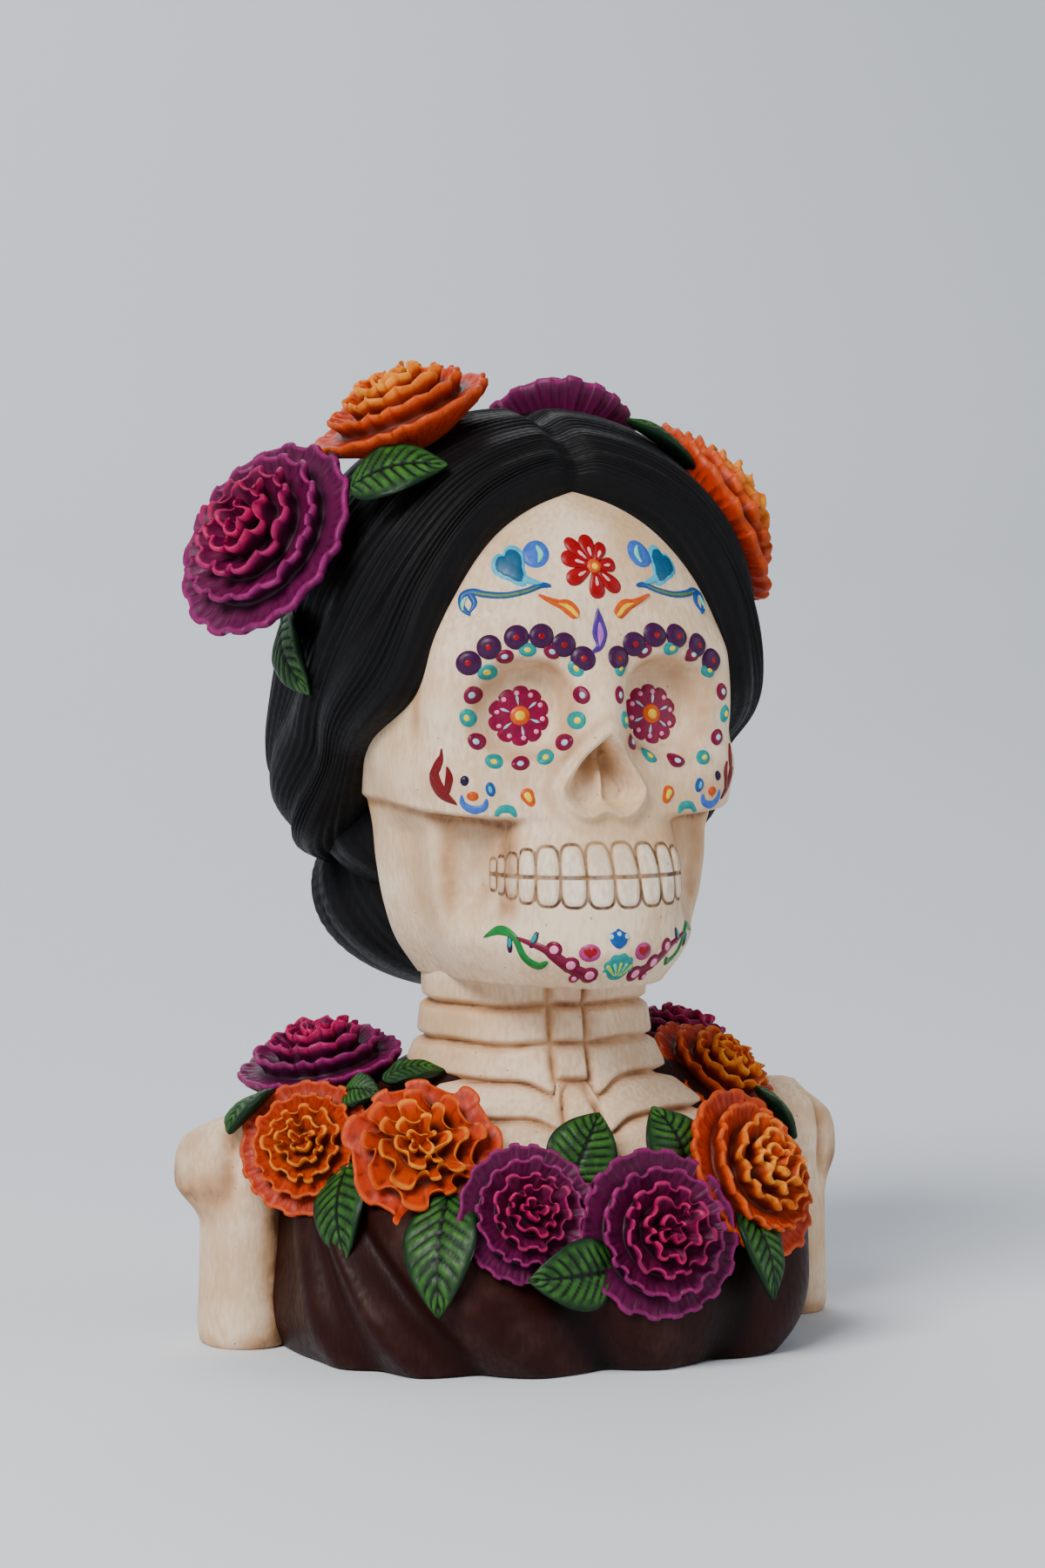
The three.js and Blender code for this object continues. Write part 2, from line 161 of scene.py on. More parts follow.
def reach(angle, half_width, front, back, squareness):
    """How far a rounded outline reaches at an angle from the front."""
    depth = np.where(np.cos(angle) > 0, front, back)
    across = np.abs(np.sin(angle)) / half_width
    along = np.abs(np.cos(angle)) / depth
    return (across**squareness + along**squareness) ** (-1 / squareness)


def plain_skull(angle, height):
    """How far the skull reaches before it is carved."""
    width, front, back, ahead, behind = (level(SKULL_LEVELS, height, k) for k in range(1, 6))
    return reach(angle, width, front, back, np.where(np.cos(angle) > 0, ahead, behind))


def eye_hollow(side, turn, height):
    """The hollow of an eye with its raised outer rim and the brow over it."""
    aside = np.abs((side - SOCKET_X) / SOCKET_RADIUS)
    above = np.abs((height - SOCKET_Z) / SOCKET_RADIUS)
    off = (aside**2.4 + above**2.4) ** (1 / 2.4)
    deep = SOCKET_DEPTH + 0.12 * (height - SOCKET_Z)
    rim = 1.8 * bell((turn - 45) / 6) * smooth(height, 138, 146) * smooth(height, 176, 166)
    brow = 1.4 * bell((height - 171) / 5) * bell((side - 20) / 13)
    # brown wash along the inside of the rim
    wash_and_shade = 0.4 * bell((off - 0.92) / 0.22)
    # brown wash in the hollow, with painted shade darkening it towards the brow above
    wash_and_shade = wash_and_shade + 0.3 * smooth(off, 1, 0.85) * (0.4 + 0.6 * smooth(height, 150, 163))
    return rim + brow - deep * (1 - smooth(off, 0.6, 1.03)), wash_and_shade


def nose(side, height):
    """The bridge, and the heart-shaped opening below it with its rim and the low wall down its middle."""
    bridge = 7.5 * bell(side / 6) * smooth(height, 176, 151) * smooth(height, 141, 150)
    bridge = bridge + 2 * bell(side / 12) * bell((height - 139) / 11)
    up, tall = height - NOSE_WIDEST, NOSE_TOP - NOSE_WIDEST
    drop_below = NOSE_WIDEST - NOSE_FOOT + 1 - 2.2 * bell(side / 3)
    low = np.maximum(np.hypot(side / NOSE_HALF_WIDTH, up / drop_below), 0.05)
    low_steep = np.hypot(side / NOSE_HALF_WIDTH**2, up / drop_below**2) / low
    flare = 1 - np.clip(up / tall, 0, 1) ** 1.15
    high_inside = NOSE_HALF_WIDTH * flare - side - np.maximum(0, up - tall)
    inside = np.where(up < 0, (1 - low) / np.maximum(low_steep, 0.03), high_inside)
    wall = 0.72 * bell(side / 1.3) * smooth(up, 10, 2)
    shallow = 0.45 * smooth(up, 7, -2)
    opening = smooth(inside, -0.2, 2.0) * (1 - np.maximum(wall, shallow))
    rim = 2.1 * bell((inside + 1.2) / 1.15) * smooth(up, tall + 2, tall - 5)
    # painted shade in the opening, darkest at its top under the bridge; brown wash with painted shade
    # outside the rim
    wash_and_shade = 1.1 * opening * smooth(up, -1, 9) + 0.35 * bell((inside + 4.5) / 1.6)
    return bridge + rim - NOSE_DEPTH * opening, wash_and_shade


def cheek(turn, height):
    """The cheekbone with the hollow below it, the edge of the jaw behind that, and the temple."""
    edge = mix(129.3, 132.2, smooth(turn, 30, 80))
    arch = smooth(height, edge - 1.2, edge + 0.8) * smooth(height, edge + 20, edge + 7)
    bone = 4.4 * arch * smooth(turn, 20, 42) * (1 - 0.65 * smooth(turn, 60, 88))
    below = smooth(height, edge + 0.5, edge - 1.5) * smooth(height, 99, 112)
    hollow = below * bell((turn - 38.5) / 12.5)
    flat = 2.2 * smooth(height, 130, 124) * bell((turn - 70) / 13)
    temple = 3.8 * bell((turn - 63) / 12) * bell((height - 168) / 13)
    jaw = 1.6 * bell((turn - 54) / 4) * below
    # painted shade with brown wash in the hollow under the cheekbone; brown wash along the hollow's front
    wash_and_shade = 0.45 * hollow + 0.7 * bell((turn - 27.5) / 3.5) * below * smooth(height, 132, 126)
    # painted shade along the underside of the cheekbone's edge
    wash_and_shade = wash_and_shade + 0.8 * bell((height - edge + 1.3) / 1.4) * smooth(turn, 20, 33)
    # brown wash along the jaw's edge and the temple's edge
    wash_and_shade = wash_and_shade + 0.5 * bell((turn - 50) / 3) * below
    wash_and_shade = wash_and_shade + 0.6 * bell((turn - 55) / 2.6) * smooth(height, 140, 152) * smooth(height, 180, 170)
    return bone + jaw - 7.5 * hollow - flat - temple, wash_and_shade


def carving(side, angle, height):
    """The carving of the face as a change of reach, and how much brown wash and painted shade lie in it."""
    turn = np.abs(np.degrees(angle))
    parts = (eye_hollow(side, turn, height), nose(side, height), cheek(turn, height))
    return sum(relief for relief, wash_and_shade in parts), sum(wash_and_shade for relief, wash_and_shade in parts)


def bare_skull(angle, height):
    """How far the carved skull reaches without its teeth, and the brown wash and painted shade on it."""
    plain = plain_skull(angle, height)
    relief, wash_and_shade = carving(np.abs(plain * np.sin(angle)), angle, height)
    ahead = np.cos(angle) > -0.3
    return plain + np.where(ahead, relief, 0), np.where(ahead, wash_and_shade, 0)


bite_angles = np.radians(np.linspace(0, 60, 400))
bite_reach = bare_skull(bite_angles, np.full(400, BITE_HEIGHT))[0]
bite_steps = np.hypot(
    np.diff(bite_reach * np.sin(bite_angles)),
    np.diff(bite_reach * np.cos(bite_angles)),
)
bite_arc = np.concatenate([[0], np.cumsum(bite_steps)])


def teeth(angle, height):
    """The rise of the teeth, how far a point is onto a tooth, and its distance to the nearest line."""
    along = np.interp(np.abs(angle), bite_angles, bite_arc)
    edges = np.concatenate([[0], np.cumsum(TOOTH_WIDTHS)])
    which = np.clip(np.searchsorted(edges, along) - 1, 0, 6)
    half = np.array(TOOTH_WIDTHS)[which] / 2
    across = (along - edges[which]) / half - 1
    up = height - BITE_HEIGHT
    tall = np.where(up > 0, np.array(UPPER_TEETH)[which], np.array(LOWER_TEETH)[which])
    across, upward, p = np.abs(across), np.abs(up) / tall, TOOTH_SQUARENESS
    far = np.maximum((across**p + upward**p) ** (1 / p), 0.05)
    steep = np.hypot((across / far) ** (p - 1) / half, (upward / far) ** (p - 1) / tall)
    within = (1 - far) / np.maximum(steep, 0.05)
    row = smooth(edges[-1] + 0.6 - along, 0, 0.8)
    line = np.minimum(np.abs(within), np.where(row > 0, np.maximum(np.abs(up) - 0.12, 0), 9))
    line = np.where((np.abs(up) < 11) & (row > 0), line, 9)
    dome = smooth(within, 0, 1.6) * row
    return 0.6 * dome - 0.35 * bell(line / 0.32), np.where(dome > 0, dome, 0), line


def skull_surface(angle, height):
    """Points of the skull's surface in millimetres, with what the paint needs to know about them."""
    out, wash_and_shade = bare_skull(angle, height)
    rise, tooth, line = teeth(angle, height)
    out = out + rise
    points = np.stack([out * np.sin(angle), -out * np.cos(angle), height], axis=-1)
    return points, {"wash_and_shade": wash_and_shade, "tooth": tooth, "line": np.minimum(line, 3)}


def wrapped(name, columns, rows, place):
    """A closed skin from a grid: place(u, v) gives points in millimetres and named values, u once round."""
    grid = bmesh.new()
    bmesh.ops.create_grid(grid, x_segments=columns, y_segments=rows, size=0.5)
    mesh = bpy.data.meshes.new(name)
    grid.to_mesh(mesh)
    grid.free()
    flat = np.empty(len(mesh.vertices) * 3, dtype=np.float32)
    mesh.vertices.foreach_get("co", flat)
    flat = flat.reshape(-1, 3).astype(float) + 0.5
    points, values = place(np.clip(flat[:, 0], 0, 1), np.clip(flat[:, 1], 0, 1))
    mesh.vertices.foreach_set("co", (points / 1000).astype(np.float32).ravel())
    for key, value in values.items():
        layer = mesh.attributes.new(key, "FLOAT", "POINT")
        layer.data.foreach_set("value", np.broadcast_to(value, len(flat)).astype(np.float32))
    closed = bmesh.new()
    closed.from_mesh(mesh)
    bmesh.ops.remove_doubles(closed, verts=closed.verts, dist=2e-6)
    bmesh.ops.recalc_face_normals(closed, faces=closed.faces)
    closed.to_mesh(mesh)
    closed.free()
    mesh.polygons.foreach_set("use_smooth", [True] * len(mesh.polygons))
    return mesh


def add_piece(name, mesh, material):
    """A finished piece at the origin, which rides on the bust and takes the place of its solid."""
    piece = bpy.data.objects.new(name, mesh)
    mesh.materials.append(material)
    bpy.context.collection.objects.link(piece)
    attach(piece, "root")
    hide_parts("catrina_bust")
    return piece


def place_skull(u, v):
    """The skull's skin, with more columns in front, closed under the chin and at the crown."""
    turn = 2 * u - 1
    angle = np.pi * (0.36 * turn + 0.64 * turn**3)
    keys = [0, 0.03, 0.12, 0.39, 0.78, 0.95, 1]
    height = np.interp(v, keys, [CHIN_HEIGHT, CHIN_HEIGHT, 105, 126, 172, 206, CROWN_HEIGHT])
    points, values = skull_surface(angle, height)
    under = np.clip(v / 0.03, 0, 1)
    share = np.where(v > 0.999, 0, under)
    points[:, 0] *= share
    points[:, 1] *= share
    points[:, 2] += 1.5 * (1 - under**2)
    return points, values


def paint(red, green, blue):
    """A paint's colour, from how it looks in even light, as a shader takes it."""
    parts = [part / 255 for part in (red, green, blue)]
    return tuple(c / 12.92 if c < 0.04 else ((c + 0.055) / 1.055) ** 2.4 for c in parts) + (1,)


def add_node(tree, kind, inputs, **options):
    """A node with its options set, and its inputs given as values or as other nodes' outputs."""
    node = tree.nodes.new("ShaderNode" + kind)
    for key, value in options.items():
        setattr(node, key, value)
    for key, value in inputs.items():
        if isinstance(value, bpy.types.NodeSocket):
            tree.links.new(value, node.inputs[key])
        else:
            node.inputs[key].default_value = value
    return node


def blend(tree, share, first, second):
    return add_node(tree, "Mix", {0: share, 6: first, 7: second}, data_type="RGBA").outputs[2]


def times(tree, first, second):
    return add_node(tree, "Math", {0: first, 1: second}, operation="MULTIPLY").outputs[0]


def stretch(tree, value, low, high, least=0.0, most=1.0):
    """A soft step: least where the value is low, most where it is high."""
    inputs = {"Value": value, "From Min": low, "From Max": high, "To Min": least, "To Max": most}
    return add_node(tree, "MapRange", inputs, interpolation_type="SMOOTHSTEP").outputs["Result"]


def carved(tree, name):
    """A value that was stored on the mesh when it was carved."""
    return add_node(tree, "Attribute", {}, attribute_name=name).outputs["Fac"]


def spots(tree, scale, detail=3.0, squash=(1, 1, 1)):
    """Soft noise over the piece, as a value round one half."""
    place = add_node(tree, "TexCoord", {}).outputs["Object"]
    place = add_node(tree, "Mapping", {"Vector": place, "Scale": squash}).outputs[0]
    return add_node(tree, "TexNoise", {"Vector": place, "Scale": scale, "Detail": detail}).outputs["Fac"]


# Every part is painted by hand on fired clay: brush marks, tiny pinholes and an uneven sheen.
hand_painted = bpy.data.node_groups.new("hand_painted_clay", "ShaderNodeTree")
for name, kind, value in (
    ("Paint", "NodeSocketColor", (0.5, 0.5, 0.5, 1)),
    ("Underpaint", "NodeSocketColor", (0.2, 0.2, 0.2, 1)),
    ("Unevenness", "NodeSocketFloat", 0.3),
    ("Pinholes", "NodeSocketFloat", 0.5),
    ("Sheen", "NodeSocketFloat", 0.5),
    ("Relief", "NodeSocketFloat", 0.5),
):
    socket = hand_painted.interface.new_socket(name, in_out="INPUT", socket_type=kind)
    socket.default_value = value
for name, kind in (
    ("Color", "NodeSocketColor"),
    ("Roughness", "NodeSocketFloat"),
    ("Normal", "NodeSocketVector"),
):
    hand_painted.interface.new_socket(name, in_out="OUTPUT", socket_type=kind)
inside = hand_painted.nodes.new("NodeGroupInput").outputs
result = hand_painted.nodes.new("NodeGroupOutput").inputs
clouds = spots(hand_painted, 70.0)
bristles = spots(hand_painted, 900.0, 4.0, (1, 1, 0.35))
place = add_node(hand_painted, "TexCoord", {}).outputs["Object"]
cells = add_node(hand_painted, "TexVoronoi", {"Vector": place, "Scale": 330.0}).outputs
lot = add_node(hand_painted, "SeparateColor", {"Color": cells["Color"]}).outputs[0]
pinholes = stretch(hand_painted, cells["Distance"], 0.11, 0.05)
pinholes = times(hand_painted, pinholes, stretch(hand_painted, lot, 0.8, 0.86))
pinholes = times(hand_painted, pinholes, inside["Pinholes"])
share = stretch(hand_painted, add_node(hand_painted, "Math", {0: clouds, 1: bristles}).outputs[0], 0.8, 1.25)
share = times(hand_painted, share, inside["Unevenness"])
color = blend(hand_painted, share, inside["Paint"], inside["Underpaint"])
color = blend(hand_painted, pinholes, color, inside["Underpaint"])
hand_painted.links.new(color, result["Color"])
uneven = stretch(hand_painted, bristles, 0.3, 0.7, -0.08, 0.08)
rough = add_node(hand_painted, "Math", {0: uneven, 1: inside["Sheen"]}, use_clamp=True).outputs[0]
hand_painted.links.new(rough, result["Roughness"])
grain = {0: times(hand_painted, bristles, 0.5), 1: pinholes}
grain = add_node(hand_painted, "Math", grain, operation="SUBTRACT").outputs[0]
bump = add_node(hand_painted, "Bump", {"Strength": inside["Relief"], "Distance": 0.0004, "Height": grain})
hand_painted.links.new(bump.outputs[0], result["Normal"])


def new_material(name, gloss, color, under, unevenness, pinholes, sheen, relief):
    """A painted finish: color is made by a function that is given the material's nodes."""
    material = bpy.data.materials.new(name)
    material.use_nodes = True
    tree = material.node_tree
    shader = tree.nodes["Principled BSDF"]
    shader.inputs["Specular IOR Level"].default_value = gloss
    brush = tree.nodes.new("ShaderNodeGroup")
    brush.node_tree = hand_painted
    tree.links.new(color(tree), brush.inputs["Paint"])
    brush.inputs["Underpaint"].default_value = under
    brush.inputs["Unevenness"].default_value = unevenness
    brush.inputs["Pinholes"].default_value = pinholes
    brush.inputs["Sheen"].default_value = sheen
    brush.inputs["Relief"].default_value = relief
    tree.links.new(brush.outputs["Color"], shader.inputs["Base Color"])
    tree.links.new(brush.outputs["Roughness"], shader.inputs["Roughness"])
    tree.links.new(brush.outputs["Normal"], shader.inputs["Normal"])
    return material


def bone_color(tree):
    clouded = stretch(tree, spots(tree, 26.0), 0.45, 0.72)
    ground = blend(tree, clouded, paint(238, 213, 182), paint(212, 172, 128))
    ground = blend(tree, times(tree, carved(tree, "tooth"), 0.8), ground, paint(246, 234, 214))
    # brown wash and painted shade, stored in the carving, laid on in uneven patches of ochre and deep brown
    patchy = stretch(tree, spots(tree, 160.0, 4.0), 0.25, 0.75, 0.45, 1.15)
    wash_and_shade = times(tree, carved(tree, "wash_and_shade"), patchy)
    ground = blend(tree, stretch(tree, wash_and_shade, 0.0, 0.7, 0.0, 0.8), ground, paint(180, 128, 84))
    ground = blend(tree, stretch(tree, wash_and_shade, 0.5, 1.1, 0.0, 0.85), ground, paint(104, 62, 34))
    line = stretch(tree, carved(tree, "line"), 0.22, 0.56, 1.0, 0.0)
    line = times(tree, line, stretch(tree, spots(tree, 240.0), 0.3, 0.6, 0.75, 1.0))
    return blend(tree, line, ground, paint(76, 40, 18))


bone = new_material("bone", 0.35, bone_color, paint(196, 154, 110), 0.52, 1.0, 0.58, 0.75)
add_piece("skull", wrapped("skull", 300, 250, place_skull), bone)

# Painted ornament
# Festival patterns in thick enamel: dots and flowers round the eyes, a red flower and hearts on the
# forehead, drops on the cheeks, and vines, a tulip and a shell on the chin. Each patch is a low dome whose
# rim dips into the bone, made for one half of the face and turned over for the other.
def between(values, share):
    """A smooth curve through a row of values, or through a table with a column for each of the shares."""
    n = np.arange(len(share))
    table = np.broadcast_to(values.reshape(len(values), -1), (len(values), len(share)))
    last = len(table) - 1
    i = np.clip(np.floor(share * last).astype(int), 0, last - 1)
    t = share * last - i
    start, end = table[i, n], table[i + 1, n]
    before = np.where(i > 0, table[np.maximum(i - 1, 0), n], 2 * start - end)
    after = np.where(i < last - 1, table[np.minimum(i + 2, last), n], 2 * end - start)
    bend = 2 * before - 5 * start + 4 * end - after + t * (3 * (start - end) + after - before)
    return start + 0.5 * t * (end - before + t * bend)


def settle(points, lift):
    """Points near the face, moved along their own bearing to lie a little above the bone."""
    angle = np.arctan2(points[:, 0], -points[:, 1])
    height = points[:, 2]
    out, _ = bare_skull(angle, height)
    rise, _, _ = teeth(angle, height)
    out = out + rise
    step = 0.05
    ahead, _ = bare_skull(angle + step / out, height)
    above, _ = bare_skull(angle, height + step)
    bare, _ = bare_skull(angle, height)
    slope = np.sqrt(1 + ((ahead - bare) / step) ** 2 + ((above - bare) / step) ** 2)
    far = out + lift * np.minimum(slope, 1.8)
    return np.stack([far * np.sin(angle), -far * np.cos(angle), height], axis=-1)


def face_point(bearing, height):
    """A point of the bone at a bearing in degrees from the front, and the direction to its right."""
    angle = np.radians(bearing)
    out = float(bare_skull(np.array([angle]), np.array([height]))[0][0])
    right = np.array([np.cos(angle), np.sin(angle), 0])
    return np.array([out * np.sin(angle), -out * np.cos(angle), height]), right


def spot_beside(centre, far, turn, side=1):
    """The bearing and height of a spot that lies some millimetres from another, in one direction."""
    middle, right = face_point(*centre)
    up = np.array([0, 0, 1])
    at = middle + far * (side * math.cos(math.radians(turn)) * right + math.sin(math.radians(turn)) * up)
    return math.degrees(math.atan2(at[0], -at[1])), at[2]


def on_side(side, path):
    """A path of bearings and heights on the right half of the face, or its mirror image on the left half."""
    return [(side * bearing, height) for bearing, height in path]


class Enamel:
    """Patches of enamel of one mesh, with a colour stored at every point."""

    def __init__(self):
        self.bm = bmesh.new()
        self.tone = self.bm.verts.layers.float_color.new("tone")

    def patch(self, columns, rows, color, place):
        """A grid of columns and rows on the face: place(u, v) gives points in millimetres and their lift."""
        made = bmesh.ops.create_grid(self.bm, x_segments=columns, y_segments=rows, size=0.5)["verts"]
        share = np.array([vert.co[:2] for vert in made]) + 0.5
        points, lift = place(share[:, 0], share[:, 1])
        points = settle(points, lift)
        for vert, point in zip(made, points):
            vert.co = point / 1000
            vert[self.tone] = color

    def blot(self, centre, color, outline, height=0.35, turn=0.0, flip=1, under=0.0, columns=28, rows=4):
        """A filled patch that reaches as far as outline(angle) says, in millimetres, round its centre.

        It is height thick over paint that is under thick, turned by degrees, and mirrored if flip is -1."""
        middle, right = face_point(*centre)
        tilt = math.radians(turn)

        def place(u, v):
            angle = 2 * np.pi * u
            far = outline(angle) * v
            across, up = far * np.cos(angle + tilt), far * np.sin(angle + tilt)
            points = middle + (flip * across)[:, None] * right + up[:, None] * np.array([0, 0, 1])
            return points, under + height * np.sqrt(np.clip(1 - v**3, 0, 1)) - 0.12 * (v > 0.99)

        self.patch(columns, rows, color, place)

    def stroke(self, path, widths, color, height=0.3, under=0.0, steps=40):
        """A brushed line through places on the face given as [bearing, height], with its width at each."""
        path = np.array(path, dtype=float)
        widths = np.array(widths, dtype=float)

        def at(share):
            return np.radians(between(path[:, 0], share)), between(path[:, 1], share)

        def place(u, v):
            bearing, tall = at(u)
            ahead, ahead_tall = at(np.minimum(u + 0.01, 1))
            behind, behind_tall = at(np.maximum(u - 0.01, 0))
            out, _ = bare_skull(bearing, tall)
            along = np.stack([(ahead - behind) * out, ahead_tall - behind_tall], axis=-1)
            along = along / np.maximum(np.linalg.norm(along, axis=1), 1e-9)[:, None]
            tip = np.sqrt(np.clip(1 - (2 * u - 1) ** 20, 0, 1))
            half = 0.5 * between(widths, u) * tip
            aside = (2 * v - 1) * half
            bearing = bearing - aside * along[:, 1] / out
            tall = tall + aside * along[:, 0]
            points = np.stack([out * np.sin(bearing), -out * np.cos(bearing), tall], axis=-1)
            dome = np.sqrt(np.clip(1 - (2 * v - 1) ** 4, 0, 1))
            return points, under + height * dome - 0.12 * (dome < 0.1)

        self.patch(steps, 4, color, place)

    def mesh(self, name):
        bmesh.ops.remove_doubles(self.bm, verts=self.bm.verts, dist=2e-6)
        for face in self.bm.faces:
            face.normal_update()
            outward = face.calc_center_median()
            outward.z = 0
            if face.normal.dot(outward) < 0:
                face.normal_flip()
        mesh = bpy.data.meshes.new(name)
        self.bm.to_mesh(mesh)
        self.bm.free()
        mesh.polygons.foreach_set("use_smooth", [True] * len(mesh.polygons))
        return mesh


def oval(across, up):
    return lambda angle: 1 / np.sqrt((np.cos(angle) / across) ** 2 + (np.sin(angle) / up) ** 2)


def scallops(radius, count, size):
    return lambda angle: radius - size + 1.6 * size * np.sqrt(np.abs(np.cos(count / 2 * angle)))


def heart(tall, wide):
    """A heart whose point is down."""

    def outline(angle):
        up, across = np.sin(angle), np.abs(np.cos(angle))
        lobes = 0.5 * (1 + 0.25 * np.sqrt(across) * np.clip(up, 0, 1) - 0.18 * bell(across / 0.25))
        point = 0.5 * (1 + 0.35 * bell(across / 0.3) - 0.2 * bell((across - 0.75) / 0.3))
        return np.where(up > 0, lobes, point) * (tall * up**2 + wide * across**2)

    return outline


def drop(length, width):
    """A drop that tapers to the right of its middle."""

    def outline(angle):
        ahead = np.cos(angle)
        tail = (length - width) * np.maximum(ahead, 0) ** 5
        return 0.5 * (width + tail + 0.1 * width * np.maximum(-ahead, 0))

    return outline


def petal_shape(foot, tip, width):
    """The middle of a petal that reaches to the right from foot to tip, and its outline round that."""
    middle = (foot + tip) / 2
    return middle, lambda angle: 1 / (
        (np.abs(np.cos(angle)) / ((tip - foot) / 2)) ** 2.3
        + (np.abs(np.sin(angle)) / (width / 2 * (1 + 0.25 * np.cos(angle)))) ** 2.3
    ) ** (1 / 2.3)


ENAMELS = {
    "purple": (62, 12, 66), "red": (158, 0, 14), "crimson": (122, 4, 54), "teal": (8, 150, 148),
    "yellow": (255, 224, 50), "pale_blue": (176, 220, 240), "magenta": (138, 8, 62),
    "pink": (255, 150, 196), "orange": (218, 84, 6), "sun": (255, 206, 30), "blush": (250, 190, 190),
    "sky": (66, 190, 224), "sea": (0, 92, 132), "blue": (56, 108, 204), "mint": (124, 228, 190),
    "navy_blue": (16, 84, 160), "olive": (98, 132, 66), "violet": (74, 38, 142),
    "mauve": (178, 100, 192), "rose": (176, 58, 122), "navy": (28, 16, 60), "green": (20, 128, 56),
    "leaf_tip": (60, 170, 70), "dark_red": (120, 12, 20), "lime": (190, 230, 90),
}
TONES = {name: paint(*value) for name, value in ENAMELS.items()}
enamel = Enamel()

# dots along the brow, and the ring of dots round each eye with its flower. The ring's bearings are those of
# the left eye, and the right eye's ring is drawn a little wider.
BROW_DOTS = [(5.6, 166.5), (11.2, 169.7), (17.9, 171.8), (25, 171.5), (32.5, 169.2), (37.9, 165.5)]
EYE_DOTS = [
    (33.3, 163.3), (28.2, 167), (21.9, 168.6), (14.8, 168.1), (7.8, 164.2), (6.5, 158), (7.8, 152.1),
    (11.1, 146.9), (16.7, 143.5), (23.9, 142.1), (31.1, 142.6), (36.1, 147.2), (38.4, 152.7), (37.2, 158),
]
EYE_MIDDLE = (24.6, 154.9)
EYE_FLOWERS = {-1: (-24.6, 153), 1: (22.9, 153)}
for side in (-1, 1):
    for number, (bearing, height) in enumerate(EYE_DOTS):
        spot = (-bearing, height) if side < 0 else (1.22 * bearing - 3.7, height)
        turn = math.degrees(math.atan2(height - EYE_MIDDLE[1], (bearing - EYE_MIDDLE[0]) * 0.78)) + 90
        rim, heart_of_it = ("teal", "yellow") if number % 2 == 0 else ("crimson", "pale_blue")
        enamel.blot(spot, TONES[rim], oval(2.3, 1.8), 0.45, turn, side)
        enamel.blot(spot, TONES[heart_of_it], oval(0.95, 0.7), 0.25, turn, side, 0.4, 16, 3)
    for bearing, height in BROW_DOTS:
        spot = (side * bearing, height)
        enamel.blot(spot, TONES["purple"], oval(3.1, 3.05), 0.8, 0, side)
        enamel.blot(spot, TONES["red"], oval(0.95, 0.95), 0.25, 0, side, 0.65, 16, 3)
    enamel.blot(EYE_FLOWERS[side], TONES["magenta"], scallops(7.0, 10, 0.6), 0.5, 18, side, 0, 80, 6)
    for ray in range(10):
        spot = spot_beside(EYE_FLOWERS[side], 5.3, 36 * ray + 9, side)
        enamel.blot(spot, TONES["pink"], oval(0.62, 0.62), 0.2, 0, side, 0.45, 14, 3)
    for ray in range(6):
        turn = 60 * ray + 20
        middle_of_ray, outline = petal_shape(2.2, 5.0, 0.6)
        spot = spot_beside(EYE_FLOWERS[side], middle_of_ray, turn, side)
        enamel.blot(spot, TONES["pale_blue"], outline, 0.15, turn, side, 0.5, 16, 3)
    enamel.blot(EYE_FLOWERS[side], TONES["orange"], oval(2.4, 2.4), 0.35, 0, side, 0.5, 24, 4)
    enamel.blot(EYE_FLOWERS[side], TONES["sun"], oval(1.35, 1.35), 0.25, 0, side, 0.8, 20, 3)

# forehead: the red flower, the hearts, the blue blots and strokes, the orange flames and the violet drop
RED_FLOWER = (0.4, 188)
RED_PETALS = [
    # bearing of the petal round the flower in degrees, length, width
    (99, 7.7, 3.9), (134, 9.2, 3.3), (58, 6.6, 3), (163, 8.4, 3.9),
    (4, 5.8, 3.5), (208, 8, 3.9), (313, 8.5, 3.7), (272, 7.9, 3.9),
]
for turn, length, width in RED_PETALS:
    for foot, tip, wide, tone, height, under in (
        (0.8, length, width, "red", 0.55, 0.0),
        (2.2, 2.2 + 0.34 * length, 0.8, "blush", 0.15, 0.5),
    ):
        middle_of_petal, outline = petal_shape(foot, tip, wide)
        spot = spot_beside(RED_FLOWER, middle_of_petal, turn)
        enamel.blot(spot, TONES[tone], outline, height, turn, 1, under, 26, 4)
enamel.blot(RED_FLOWER, TONES["orange"], oval(1.75, 1.75), 0.5, 0, 1, 0.35, 22, 4)
enamel.blot(RED_FLOWER, TONES["sun"], oval(0.9, 0.9), 0.2, 0, 1, 0.8, 16, 3)
BLUE_STROKE = [
    (38.5, 176.5), (41.5, 178.3), (42.3, 181), (39.2, 182), (35, 181.4), (28.8, 181.2), (22.5, 182.2),
    (18, 183.5), (14.5, 183.4),
]
